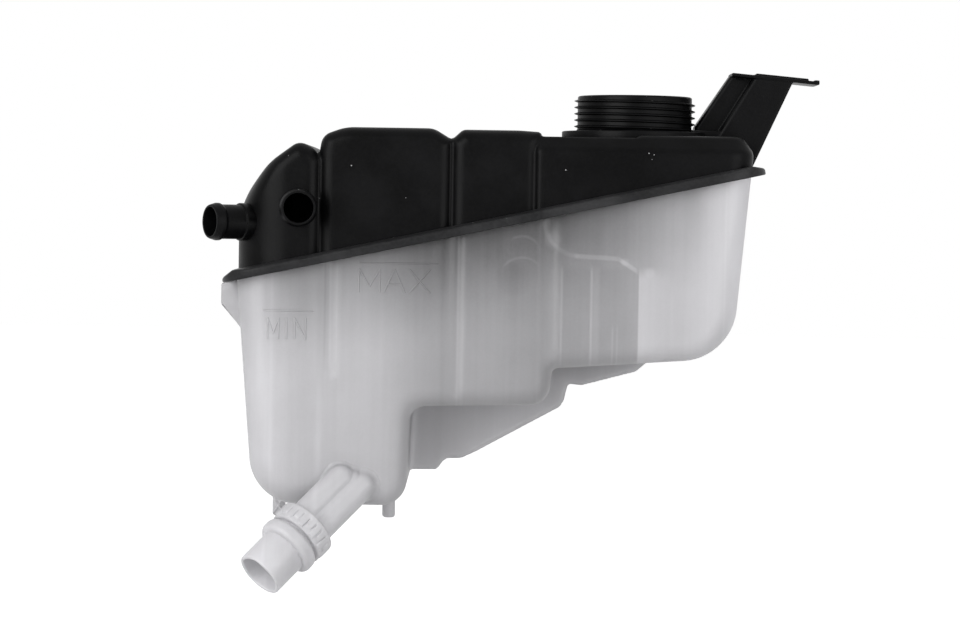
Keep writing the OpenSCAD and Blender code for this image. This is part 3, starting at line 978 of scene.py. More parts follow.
def stripe(low: float, high: float, soft: float) -> tuple[Pair, Pair]:
    """Limits of a mark between two values, with soft sides."""
    return (low - soft, low + soft), (high + soft, high - soft)


# The pocket in the back wall stands upright between these heights.
UPRIGHT = ((62.0, 70.0), (113.0, 109.0))
RIB_HEAD = (87.0, 82.0)
GROOVE_FOOT = ((58.0, 74.0),)
PEGS = ((-0.5, -3.0),)
PEG_FACE = ((-30.0, -20.0),)

# Painted light on the sump and the outlet, lightening them against the shade that falls on them; the pegs are
# darker.
BODY_LIGHT_AND_PEG_MARKS = (
    Mark(0.24, y=((-12.0, 2.0),), z=((84.0, 50.0),)),
    Mark(0.13, y=((-53.5, -58.0),), z=((60.0, 40.0),)),
    Mark(-0.06, y=PEG_FACE, z=PEGS),
    Mark(-0.20, x=((-30.0, -46.0),), y=PEG_FACE, z=PEGS),
)

# Painted light and shade of the back wall's pocket, ribs, sill and domes, as seen through the front one, with
# painted highlights and painted shadows.
BACK_WALL_LIGHT_AND_SHADE = (
    Mark(-0.03, ((78.4, 79.6), (114.9, 114.1)), UPRIGHT),
    Mark(0.18, ((114.1, 114.9), (134.0, 114.0)), ((60.0, 70.0), (113.0, 106.0))),
    Mark(0.09, stripe(78.9, 79.7, 0.5), UPRIGHT),
    Mark(0.12, stripe(92.4, 93.4, 0.5), UPRIGHT),
    Mark(0.05, stripe(93.6, 96.4, 1.0), UPRIGHT),
    Mark(0.10, stripe(102.5, 103.1, 0.5), (RIB_HEAD, *UPRIGHT)),
    Mark(0.10, stripe(104.7, 105.2, 0.5), (RIB_HEAD, *UPRIGHT)),
    Mark(0.045, ((88.0, 85.0),), ((134.0, 130.0),), shape=Arc((88.0, 133.6), 17.3, 1.5)),
    Mark(0.08, stripe(85.0, 105.0, 1.0), shape=Slant((84.0, 116.6), 0.05, 1.5)),
    Mark(0.12, stripe(105.5, 113.5, 1.0), shape=Slant((105.0, 115.4), 0.63, 1.7)),
    Mark(0.08, shape=Spot((108.0, 114.0), 2.4)),
    Mark(0.06, shape=Spot((119.5, 109.4), 3.0)),
    Mark(0.05, stripe(56.5, 68.0, 1.5), ((115.0, 119.0),), shape=Arc((60.8, 116.2), 9.0, 0.9)),
    Mark(0.045, stripe(52.5, 68.0, 1.5), ((104.0, 109.0),), shape=Arc((61.0, 104.4), 11.0, 0.9)),
    Mark(-0.035, shape=Spot((57.0, 106.0), 10.0)),
    Mark(0.05, shape=Spot((75.0, 124.0), 5.0)),
)

# Painted highlights and painted shade in upright lines beside the grooves and the rounded corners.
GROOVE_AND_CORNER_LIGHT_LINES = (
    Mark(-0.07, stripe(-29.4, -28.6, 0.5), GROOVE_FOOT),
    Mark(0.06, stripe(-27.2, -26.2, 0.6), GROOVE_FOOT),
    Mark(0.04, stripe(-24.0, -23.2, 0.4), GROOVE_FOOT),
    Mark(-0.03, stripe(24.0, 26.0, 0.8)),
    Mark(0.06, stripe(31.4, 32.2, 0.5)),
    Mark(0.04, stripe(33.4, 34.8, 0.6)),
    Mark(0.03, stripe(73.2, 74.4, 0.8)),
    Mark(0.02, stripe(68.0, 69.6, 1.0)),
    Mark(0.04, stripe(-54.0, -52.6, 0.6)),
    Mark(0.05, stripe(-32.8, -30.4, 1.2), ((70.0, 40.0),)),
    Mark(0.03, stripe(129.0, 130.4, 0.8), stripe(76.0, 102.0, 6.0)),
    Mark(0.04, stripe(153.4, 154.4, 0.5)),
)


@dataclass(frozen=True)
class NaturalPlastic:
    """Milky, translucent polyethylene that shows a little of what lies behind it, with painted light and
    shade in its colour.
    """

    name: str = "natural_plastic"
    tint: Colour = (0.978, 0.968, 1.0)
    gain: float = 0.77
    darkest: float = 0.02
    roughness: float = 0.42
    refraction: float = 1.5
    glow: float = 0.22
    glow_tint: Colour = (0.86, 0.86, 0.87)
    clear: float = 0.05
    clear_tint: Colour = (0.96, 0.96, 0.97)
    base: float = 0.67
    # Painted light and shade along the tank: lighter at both ends, where light comes through, darker over the
    # middle chambers.
    chambers: tuple[Rise, ...] = (
        Rise(-60.0, -38.0, -0.12), Rise(-12.0, 24.0, -0.17), Rise(44.0, 70.0, -0.05),
        Rise(72.0, 84.0, 0.04), Rise(96.0, 160.0, 0.33), Rise(152.0, 162.0, 0.22),
    )
    shade: float = 0.25
    shades: tuple[Rise, ...] = (
        Rise(-64.0, -40.0, 0.31), Rise(-20.0, 25.0, 0.26),
        Rise(70.0, 125.0, -0.42), Rise(138.0, 152.0, -0.34),
    )
    least_shade: float = 0.06
    shade_reach: Pair = (52.0, -8.0)
    front: Pair = (-20.0, -49.0)
    flow: tuple[Grain, ...] = (
        Grain((2.2, 30.0, 90.0), 3.0, 0.07), Grain((15.0,), 3.0, 0.07), Grain((1.1,), 2.0, 0.05),
    )
    relief: tuple[Grain, ...] = (Grain((0.9,), 2.0, 0.05), Grain((14.0, 14.0, 26.0), 1.0, 0.9))
    wear: Grain = Grain((6.0,), 3.0, 0.16)

    def level(self, tree: ShaderTree, spot: Place) -> Signal:
        """Brightness over the tank with painted light and shade: chambers, seam shade, things behind the wall
        and upright lines beside grooves and corners.

        Args:
            tree: The material's tree.
            spot: X, Y and Z in millimetres.

        Returns:
            The brightness, about one for white.
        """
        x, y, z = spot
        below = SEAM_HEIGHT + x * tan(SEAM_SLOPE) - z
        level = sum((rise.on(x) for rise in self.chambers), self.base)
        shade = sum((rise.on(x) for rise in self.shades), self.shade).most(self.least_shade)
        level = level * (1.0 - shade * below.ramp(*self.shade_reach))
        level = level + sum(mark.on(spot) for mark in BODY_LIGHT_AND_PEG_MARKS)
        level = level + sum(mark.on(spot) for mark in BACK_WALL_LIGHT_AND_SHADE + GROOVE_AND_CORNER_LIGHT_LINES) * y.ramp(*self.front)
        return level + sum(grain.on(tree, spot) for grain in self.flow)

    def build(self) -> bpy.types.Material:
        """Makes the material.

        Returns:
            The material.
        """
        tree = ShaderTree(bpy.data.materials.new(self.name))
        spot = tree.place()
        level = self.level(tree, spot) * self.gain
        colour = tree.blend(level.most(self.darkest), BLACK, (*self.tint, 1.0))
        normal = tree.bump(sum(grain.on(tree, spot) for grain in self.relief))
        rough = self.roughness + self.wear.on(tree, spot)
        sockets = {"Base Color": colour, "Roughness": rough, "Normal": normal, "IOR": self.refraction}
        body = tree.node("ShaderNodeBsdfPrincipled", **sockets)
        glow = tree.node("ShaderNodeBsdfTranslucent", Color=(*self.glow_tint, 1.0), Normal=normal)
        milky = tree.node("ShaderNodeMixShader", **{"0": self.glow, "1": body, "2": glow})
        clear = tree.node("ShaderNodeBsdfTransparent", Color=(*self.clear_tint, 1.0))
        return tree.finish(tree.node("ShaderNodeMixShader", **{"0": self.clear, "1": milky, "2": clear}))


@dataclass(frozen=True)
class BlackPlastic:
    """Black polypropylene with a fine grain and a few specks of dust."""

    name: str = "black_plastic"
    deep: Colour = (0.0010, 0.0010, 0.0011)
    worn: Colour = (0.0030, 0.0030, 0.0033)
    roughness: float = 0.38
    shine: float = 0.06
    haze_size: float = 24.0
    haze_limits: Pair = (0.35, 0.7)
    haze_share: float = 0.7
    haze_wear: float = 0.10
    fine_size: float = 1.4
    fine_limits: Pair = (0.3, 0.75)
    fine_share: float = 0.3
    fine_wear: float = 0.06
    dust: float = 0.055
    dust_soft: float = 0.012
    dust_pitch: float = 5.2
    dust_drift: float = 11.0
    dust_limits: Pair = (0.58, 0.62)
    dust_cover: float = 0.5
    dust_tint: Colour = (0.55, 0.55, 0.55)
    relief: tuple[Grain, ...] = (Grain((0.55,), 2.0, 0.07), Grain((20.0,), 1.0, 0.8))

    def build(self) -> bpy.types.Material:
        """Makes the material.

        Returns:
            The material.
        """
        tree = ShaderTree(bpy.data.materials.new(self.name))
        spot = tree.place()
        haze = tree.noise(scaled(spot, self.haze_size), 3.0).ramp(*self.haze_limits)
        fine = tree.noise(scaled(spot, self.fine_size), 2.0).ramp(*self.fine_limits)
        wear = haze * self.haze_share + fine * self.fine_share
        colour = tree.blend(wear, (*self.deep, 1.0), (*self.worn, 1.0))
        speck = tree.grains(scaled(spot, self.dust_pitch))
        speck = speck.ramp(self.dust + self.dust_soft, self.dust - self.dust_soft)
        sparse = tree.noise(scaled(spot, self.dust_drift), 0.0).ramp(*self.dust_limits)
        colour = tree.blend(speck * sparse * self.dust_cover, colour, (*self.dust_tint, 1.0))
        normal = tree.bump(sum(grain.on(tree, spot) for grain in self.relief))
        rough = self.roughness + (haze - 0.5) * self.haze_wear + (fine - 0.5) * self.fine_wear
        sockets = {"Base Color": colour, "Roughness": rough, "Normal": normal}
        shine = {"Specular IOR Level": self.shine}
        return tree.finish(tree.node("ShaderNodeBsdfPrincipled", **sockets, **shine))


@dataclass(frozen=True)
class Form:
    """Leading sizes that both shells share, in millimetres and degrees."""

    half_depth: float = 52.0
    left: float = -70.3
    right: float = 166.1
    wall: float = 2.5
    left_draft: float = 4.6
    right_draft: float = 4.9
    left_corner: float = 13.0
    right_corner: float = 12.0
    seam_height: float = SEAM_HEIGHT
    seam_slope: float = SEAM_SLOPE
    joint: float = 2.5
    flange_height: float = 5.0
    flange_width: float = 6.8
    deep: float = 84.0
    high: float = 176.0

    def seam_at(self, x: float) -> float:
        """Height of the flange's lower edge at a place along the tank."""
        return self.seam_height + x * tan(self.seam_slope)

    def left_wall(self, z: float) -> float:
        """Outer face of the left wall at a height."""
        return self.left - (z - self.seam_at(self.left)) * tan(self.left_draft)

    def right_wall(self, z: float) -> float:
        """Outer face of the right wall at a height."""
        return self.right + (z - self.seam_at(self.right)) * tan(self.right_draft)

    @property
    def lean(self) -> Pair:
        """Cosine and sine of the seam's slope."""
        slope = math.radians(self.seam_slope)
        return math.cos(slope), math.sin(slope)

    def on_seam(self, vertices: Array) -> Array:
        """Moves points from the seam's frame, whose Z is square to it, to the tank's."""
        return placed(vertices, tilt(-self.seam_slope), (0.0, 0.0, self.seam_height))

    def below(self, height: float) -> Solid:
        """Everything below a plane parallel to the seam."""
        c, s = self.lean
        return Solid(lambda x, y, z: (z - self.seam_height) * c - x * s - height)

    @property
    def u0(self) -> float:
        """Left wall in the seam's frame."""
        return self.left / self.lean[0]

    @property
    def u1(self) -> float:
        """Right wall in the seam's frame."""
        return self.right / self.lean[0]


@dataclass(frozen=True)
class LowerBody:
    """Natural lower moulding: leg, middle and right chambers, rear sump and recess."""

    form: Form
    leg_right: float = 9.0
    leg_left_radius: float = 22.0
    leg_right_radius: float = 12.0
    leg_draft: float = 2.0
    mid_height: float = 46.9
    mid_right: float = 74.0
    end_height: float = 64.5
    end_step: float = 1.6
    floor_slope: float = 4.0
    end_radius: float = 26.0
    edge: float = 9.0
    left_blend: Pair = (-60.0, -38.0)
    right_blend: Pair = (138.0, 156.0)
    sump: Pair = (4.0, 51.4)
    sump_edge: float = 1.4
    sump_fillet: float = 1.5
    sump_corners: tuple[Corner, ...] = (
        (-17.0, 12.4, 3.0), (22.6, 12.8, 1.5), (25.4, 16.8, 1.5), (27.4, 18.1, 1.5), (34.0, 18.3, 2.5),
        (41.0, 21.6, 2.0), (80.8, 43.6, 2.5), (82.8, 47.0, 2.5), (84.4, 54.6, 1.6), (91.2, 54.1, 2.0),
        (100.6, 56.6, 5.0), (116.8, 61.0, 3.0), (122.2, 65.6, 2.0), (122.0, 94.0, 3.0), (-17.0, 94.0, 3.0),
    )
    recess: tuple[float, float, float, float] = (89.0, 123.0, 112.0, 22.0)
    recess_corner: float = 4.0
    recess_edge: float = 1.5
    recess_past: float = 30.0
    grooves: tuple[Pair, ...] = ((-26.4, 62.0), (31.0, 20.0), (74.0, 20.0))
    groove_width: float = 5.0
    groove_depth: float = 1.2
    groove_edge: float = 1.2
    outlet_port: Pair = (-15.3, 11.8)
    port_bore: float = 7.4
    port_reach: float = 6.0
    extra: float = 0.3
    grid: tuple[Point, Point, Point] = ((-78.0, -53.6, -1.6), (171.0, 53.6, 158.0), (1.6, 1.6, 1.6))

    def floor(self, x: float) -> float:
        """Underside of the middle and right chambers.

        Args:
            x: Place along the tank.

        Returns:
            The height.
        """
        if x < self.mid_right:
            return self.mid_height + (x - self.leg_right) * tan(self.floor_slope)
        return self.end_height + (x - self.mid_right) * tan(self.floor_slope)

    def silhouette(self) -> list[Corner]:
        """Front outline of the leg and the two raised chambers.

        Returns:
            The outline's corners.
        """
        form = self.form
        end = form.right_wall(self.end_height)
        return [
            (form.left_wall(0.0), 0.0, self.leg_left_radius),
            (self.leg_right, 0.0, self.leg_right_radius),
            (self.leg_right + self.mid_height * tan(self.leg_draft), self.mid_height - 0.9, 7.0),
            (self.mid_right, self.mid_height + 0.7, 12.0),
            (self.mid_right + self.end_step, self.end_height, 3.0),
            (end, self.floor(end), self.end_radius),
            (form.right_wall(form.high), form.high, 0.0),
            (form.left_wall(form.high), form.high, 0.0),
        ]

    def edge_radius(self, x: Array, y: Array, z: Array) -> Array:
        """Radius of the moulding's front and back edges, which varies along X.

        Args:
            x: Places along the tank.
            y: Not used.
            z: Not used.

        Returns:
            The radii.
        """
        left = (self.form.left_corner - self.edge) * (1.0 - smooth(x, *self.left_blend))
        right = (self.form.right_corner - self.edge) * smooth(x, *self.right_blend)
        return self.edge + left + right

    def outside(self) -> Solid:
        """Outer form, closed at the top.

        Returns:
            The solid.
        """
        form = self.form
        sides = between(1, -form.half_depth, form.half_depth)
        body = prism(self.silhouette(), Plane.FRONT).rounded(sides, self.edge_radius)
        sump = prism(self.sump_corners, Plane.FRONT).rounded(between(1, *self.sump), self.sump_edge)
        body = body.filleted(sump, self.sump_fillet)
        left, right, top, depth = self.recess
        pocket = prism([(left, 0, 0), (right, 0, 0), (right, top, 6), (left, top, 10)], Plane.FRONT)
        back = between(1, form.half_depth - depth, form.half_depth + self.recess_past)
        body = body.carved(pocket.rounded(back, self.recess_corner), self.recess_edge)
        radius = (self.groove_width**2 / 4 + self.groove_depth**2) / (2 * self.groove_depth)
        line = -form.half_depth + self.groove_depth - radius
        for x, foot in self.grooves:
            body = body.carved(rod(radius, (x, line, foot), (x, line, form.high)), self.groove_edge)
        return body

    def build(self, material: bpy.types.Material) -> bpy.types.Object:
        """Skins the hollow moulding, open at the joint.

        Args:
            material: Its material.

        Returns:
            The piece.
        """
        form = self.form
        outside = self.outside()
        x, z = self.outlet_port
        ends = [(x, side * self.port_reach - form.half_depth, z) for side in (-1, 1)]
        shell = (outside - outside.grown(-form.wall - self.extra)) & form.below(form.joint)
        shell = shell - rod(self.port_bore / 2, *ends)
        return add_mesh("lower_body", *Skin(shell, *self.grid).build(), material)


@dataclass(frozen=True)
class UpperBody:
    """Black upper moulding's four lobes, hollow and joined inside by a passage."""

    form: Form
    splits: tuple[float, float, float] = (-32.3, 28.0, 67.6)
    first_left: float = -70.8
    first_top: float = 169.0
    mid_top: float = 174.1
    last_top: float = 172.3
    last_bevel: Pair = (6.0, 7.5)
    last_edge: float = 1.2
    last_side: float = 3.0
    lap: float = 1.2
    setback: float = 2.0
    edge: float = 6.5
    corner: float = 24.0
    valley: float = 1.4
    passage_inset: float = 6.0
    passage_past: Pair = (14.0, 20.0)
    passage_drop: float = 13.0
    passage_edge: float = 2.0
    neck_x: float = 113.8
    neck_bore: float = 47.2
    barb_bores: tuple[tuple[Point, Point], ...] = ()
    barb_bore: float = 13.2
    grid: tuple[Point, Point, Point] = ((-73.0, -53.0, 102.0), (170.0, 53.0, 176.0), (1.25, 1.25, 1.25))

    def first_lobe(self) -> Solid:
        """Lobe that slopes up from a broad round corner to its peak.

        Returns:
            The solid.
        """
        x0, x1 = self.first_left, self.splits[0] + self.lap / 2
        top, deep, far = self.first_top, self.form.deep, self.first_left - 20.0
        profile = prism([
            (far, deep, 0), (x1, deep, 0), (x1, top - 9.6, 2), (x1 - 4.2, top - 4.6, 6),
            (x1 - 10.6, top - 1.6, 9), (x0 + 14.8, top - 11.6, 34), (far, top - 31.0 - 20.0 * 19.4 / 14.8, 0),
        ], Plane.FRONT)
        depth, end = self.form.half_depth - self.setback, x1 + 40
        corners = [(x0, -depth, self.corner), (end, -depth, 0), (end, depth, 0), (x0, depth, self.corner)]
        return profile.rounded(prism(corners, Plane.TOP), self.edge)

    def second_lobe(self) -> Solid:
        """Lobe with a rounded left shoulder.

        Returns:
            The solid.
        """
        x0, x1 = self.splits[0] - self.lap / 2, self.splits[1] + self.lap / 2
        top, deep = self.mid_top, self.form.deep
        return self.lobe([
            (x0, deep, 0), (x1, deep, 0), (x1, top - 5.5, 2), (x1 - 9, top, 10),
            (x0 + 12, top, 24), (x0 + 1.3, top - 3.9, 7), (x0, top - 12, 6),
        ])

    def third_lobe(self) -> Solid:
        """Lobe with a flat top.

        Returns:
            The solid.
        """
        x0, x1 = self.splits[1] - self.lap / 2, self.splits[2] + self.lap
        top, deep = self.mid_top, self.form.deep
        return self.lobe([
            (x0, deep, 0), (x1, deep, 0), (x1, top - 1, 0), (x1 - 10, top - 0.4, 8),
            (x0 + 5.6, top - 0.4, 4), (x0, top - 5.5, 2),
        ])

    def lobe(self, corners: Sequence[Corner]) -> Solid:
        """Lobe with rounded front and back edges."""
        depth = self.form.half_depth - self.setback
        return prism(corners, Plane.FRONT).rounded(between(1, -depth, depth), self.edge)

    def fourth_lobe(self) -> Solid:
        """Lobe under the neck, whose right wall leans and whose upper edges are bevelled.

        Returns:
            The solid.
        """
        form, top = self.form, self.last_top
        wide, tall = self.last_bevel
        depth, r = form.half_depth, form.right_corner
        outline = Outline(((-60, -depth, 0), (0, -depth, r), (0, depth, r), (-60, depth, 0)))
        start, lean = form.right_wall(0.0), tan(form.right_draft)

        def inside(x: Array, y: Array, z: Array) -> Array:
            """Distance to the leaning walls, from a plan that ends far to the left."""
            return outline.distance(np.maximum(x - start - z * lean, -55.0), y)

        slant = math.hypot(1 / wide, 1 / tall)
        bevel = Solid(lambda x, y, z: (inside(x, y, z) / wide + (z - top) / tall + 1) / slant)
        roof = Solid(lambda x, y, z: z - top)
        left = Solid(lambda x, y, z: self.splits[2] - self.lap - x)
        floor = Solid(lambda x, y, z: form.deep - z)
        lobe = Solid(inside).rounded(bevel, self.last_edge).rounded(roof, self.last_edge)
        return (lobe & floor).rounded(left, self.last_side)

    def outside(self) -> Solid:
        """Outer form of all four lobes."""
        lobes = self.first_lobe().filleted(self.second_lobe(), self.valley)
        return lobes.filleted(self.third_lobe(), self.valley).filleted(self.fourth_lobe(), self.valley)

    def build(self, material: bpy.types.Material) -> bpy.types.Object:
        """Skins the hollow lobes, open at the joint, with holes for neck and barbs.

        Args:
            material: Its material.

        Returns:
            The piece.
        """
        form = self.form
        outside = self.outside()
        inner = form.half_depth - self.setback - self.passage_inset - form.wall
        start, end = self.splits[0] - self.passage_past[0], self.splits[2] + self.passage_past[1]
        roof = self.first_top - self.passage_drop
        passage = block((start, -inner, form.deep), (end, inner, roof), self.passage_edge)
        shell = (outside - (outside.grown(-form.wall) | passage)) - form.below(form.joint)
        low, high = self.last_top - OVERSHOOT, self.last_top + OVERSHOOT
        shell = shell - disc(self.neck_bore / 2, 2, (self.neck_x, 0, 0), low, high, 0.4)
        for ends in self.barb_bores:
            shell = shell - rod(self.barb_bore / 2, *ends)
        return add_mesh("upper_lobes", *Skin(shell, *self.grid).build(), material)


@dataclass(frozen=True)
class SeamFlange:
    """Flange along the sloping joint: flat shelf, sloping top and skirt round the lower shell."""

    form: Form
    front_edge: float = 3.9
    left_edge: float = 2.0
    right_edge: float = 2.9
    skirt: float = 4.9
    chamfer: float = 0.2
    inside: float = 4.2
    lip: float = 1.0
    lip_steps: int = 6
    under: float = 0.6
    under_steps: int = 4
    pace: float = 3.0
    corner_stations: int = 19

    def roof(self, u: Array, v: Array) -> Array:
        """Height of the flange's top above its lower edge.

        Args:
            u: Places along the seam.
            v: Places across it.

        Returns:
            The heights.
        """
        form = self.form
        high, width = form.flange_height, form.flange_width
        left = high - (high - self.left_edge) * np.clip((form.u0 - u) / width, 0, 1)
        right = high - (high - self.right_edge) * np.clip((u - form.u1) / width, 0, 1)
        side = high - (high - self.front_edge) * np.clip((np.abs(v) - form.half_depth) / width, 0, 1)
        return np.minimum(np.minimum(left, right), side)

    def stations(self) -> tuple[Array, Array]:
        """Paces out the joint.

        Returns:
            Places round the joint and their outward directions, in the seam's plane.
        """
        form = self.form
        points, normals = [], []
        rounds = [
            (form.u0, -form.half_depth, form.left_corner, 1, 1, 180.0),
            (form.u1, -form.half_depth, form.right_corner, -1, 1, 270.0),
            (form.u1, form.half_depth, form.right_corner, -1, -1, 0.0),
            (form.u0, form.half_depth, form.left_corner, 1, -1, 90.0),
        ]
        for u, v, r, du, dv, start in rounds:
            centre = np.array((u + du * r, v + dv * r))
            for angle in np.radians(np.linspace(start, start + 90.0, self.corner_stations)):
                normal = np.array((math.cos(angle), math.sin(angle)))
                point = centre + normal * r
                if points and np.linalg.norm(point - points[-1]) > 1.5 * self.pace:
                    self.bridge(points, normals, point)
                points.append(point)
                normals.append(normal)
        self.bridge(points, normals, points[0])
        return np.array(points), np.array(normals)

    def bridge(self, points: list[Array], normals: list[Array], end: Array) -> None:
        """Adds evenly paced stations along a straight side.

        Args:
            points: The places so far, added to.
            normals: Their directions, added to.
            end: Where the side ends.
        """
        start, normal = points[-1], normals[-1]
        count = int(np.linalg.norm(end - start) / self.pace)
        for i in range(1, count):
            points.append(start + (end - start) * i / count)
            normals.append(normal)

    def section(self) -> list[tuple[float, float | None, float]]:
        """Section of the flange, as rows that run round the joint.

        Returns:
            For each row, its place outwards, its height where that is level, and its
            depth below the roof where it isn't.
        """
        width, joint = self.form.flange_width, self.form.joint
        rows = [(-self.inside, joint, 0.0), (self.skirt, joint, 0.0)]
        rows += [(self.skirt, self.chamfer, 0.0), (self.skirt + self.chamfer, 0.0, 0.0)]
        for angle in np.radians(np.linspace(0.0, 90.0, self.under_steps + 1)):
            rows.append((width - self.under * (1 - math.sin(angle)), self.under * (1 - math.cos(angle)), 0.0))
        for angle in np.radians(np.linspace(0.0, 90.0, self.lip_steps + 1)):
            rows.append((width - self.lip * (1 - math.cos(angle)), None, self.lip * (1 - math.sin(angle))))
        return rows + [(width / 2, None, 0.0), (0.0, None, 0.0), (-self.inside, None, 0.0)]

    def build(self, material: bpy.types.Material) -> bpy.types.Object:
        """Sweeps the flange's section round the joint.

        Args:
            material: Its material.

        Returns:
            The piece.
        """
        base, normals = self.stations()
        rows = []
        for out, height, drop in self.section():
            spot = base + normals * out
            top = self.roof(spot[:, 0], spot[:, 1]) - drop
            rows.append(np.column_stack((spot, top if height is None else np.full(len(spot), height))))
        vertices = self.form.on_seam(np.concatenate(rows))
        return shaded(add_mesh("seam_flange", vertices, banded(len(rows), len(base)), material))


@dataclass(frozen=True)
class FillerNeck:
    """Neck on its round pad, with a helical thread."""

    axis: float = 113.8
    top: float = 191.5
    base: float = 172.3
    sunk: float = 2.1
    root: float = 54.0
    bore: float = 47.0
    pad: float = 68.6
    pad_height: float = 2.5
    sides: int = 160
    pitch: float = 3.0
    turns: float = 4.55
    first_crest: float = 2.2
    ridge_offset: float = 0.15
    ridge_width: float = 2.3
    crest_width: float = 0.35
    ridge_height: float = 2.85
    turn_steps: int = 96

    def build(self, material: bpy.types.Material) -> bpy.types.Object:
        """Turns the neck and its pad.

        Args:
            material: Its material.

        Returns:
            The piece.
        """
        inner, root, pad = self.bore / 2, self.root / 2, self.pad / 2
        low, shelf = self.base - self.sunk, self.base + self.pad_height
        profile = softened([
            (inner, low, 0.1), (pad, low, 0.1), (pad, shelf, 0.6),
            (root, shelf, 1.8), (root, self.top, 0.9), (inner, self.top, 0.8),
        ])
        vertices, faces = turned(profile, self.sides)
        return shaded(add_mesh("filler_neck", vertices + np.array((self.axis, 0.0, 0.0)), faces, material))

    def thread(self, material: bpy.types.Material) -> bpy.types.Object:
        """Winds the thread's ridge round the neck with Geometry Nodes.

        Args:
            material: Its material.

        Returns:
            The piece.
        """
        rise = self.turns * self.pitch
        values = {
            "Turns": self.turns, "Root radius": (self.root / 2 + self.ridge_offset) * MM, "Rise": rise * MM,
            "Ridge width": self.ridge_width * MM, "Crest width": self.crest_width * MM,
            "Ridge height": self.ridge_height * MM,
        }
        tree = GeometryTree("neck_thread", *values)
        helix = tree.node("GeometryNodeCurveSpiral", Resolution=self.turn_steps, Rotations=tree["Turns"], **{
            "Start Radius": tree["Root radius"], "End Radius": tree["Root radius"], "Height": tree["Rise"],
        })
        upright = tree.node("GeometryNodeSetCurveNormal", {"mode": "Z_UP"}, Curve=helix)
        ridge = tree.node("GeometryNodeCurvePrimitiveQuadrilateral", {"mode": "TRAPEZOID"}, Offset=0.0, **{
            "Bottom Width": tree["Ridge width"], "Top Width": tree["Crest width"],
            "Height": tree["Ridge height"],
        })
        outward = tree.node("GeometryNodeTransform", Geometry=ridge, Rotation=(0.0, 0.0, math.radians(90.0)))
        body = tree.swept(upright, outward)
        obj = tree.build(body, material, values)
        start = self.top - self.first_crest - rise
        obj.data.transform(Matrix.Translation(Vector((self.axis, 0.0, start)) * MM))
        return shaded(obj)


@dataclass(frozen=True)
class Barb:
    """Hose barb with its base ring, standing on the first lobe."""

    name: str
    base: Point
    direction: Point
    outer: float = 15.9
    bead: float = 17.3
    bore: float = 13.5
    length: float = 18.15
    ring: float = 17.4
    ring_height: float = 3.0
    root: float = 2.6
    hole_reach: float = 5.0
    sides: int = 96

    def hole(self) -> tuple[Point, Point]:
        """Ends of the hole through the lobe's wall."""
        base, reach = np.array(self.base), np.array(self.direction) * self.hole_reach
        return tuple(base - reach), tuple(base + reach)

    def build(self, material: bpy.types.Material) -> bpy.types.Object:
        """Turns the barb and stands it on the lobe.

        Args:
            material: Its material.

        Returns:
            The piece.
        """
        inner, shank, bead, ring = self.bore / 2, self.outer / 2, self.bead / 2, self.ring / 2
        length = self.length
        profile = softened([
            (inner, -self.root, 0.1), (ring, -self.root, 0.1), (ring, self.ring_height, 0.7),
            (shank, self.ring_height, 0.6), (shank, length - 5.6, 1.0), (bead, length - 4.4, 0.5),
            (bead, length - 3.0, 0.8), (shank, length - 0.6, 0.6), (shank - 0.3, length, 0.3),
            (inner, length, 0.3),
        ])
        vertices, faces = turned(profile, self.sides)
        vertices = placed(vertices, frame_of(self.direction), self.base)
        return shaded(add_mesh(self.name, vertices, faces, material))


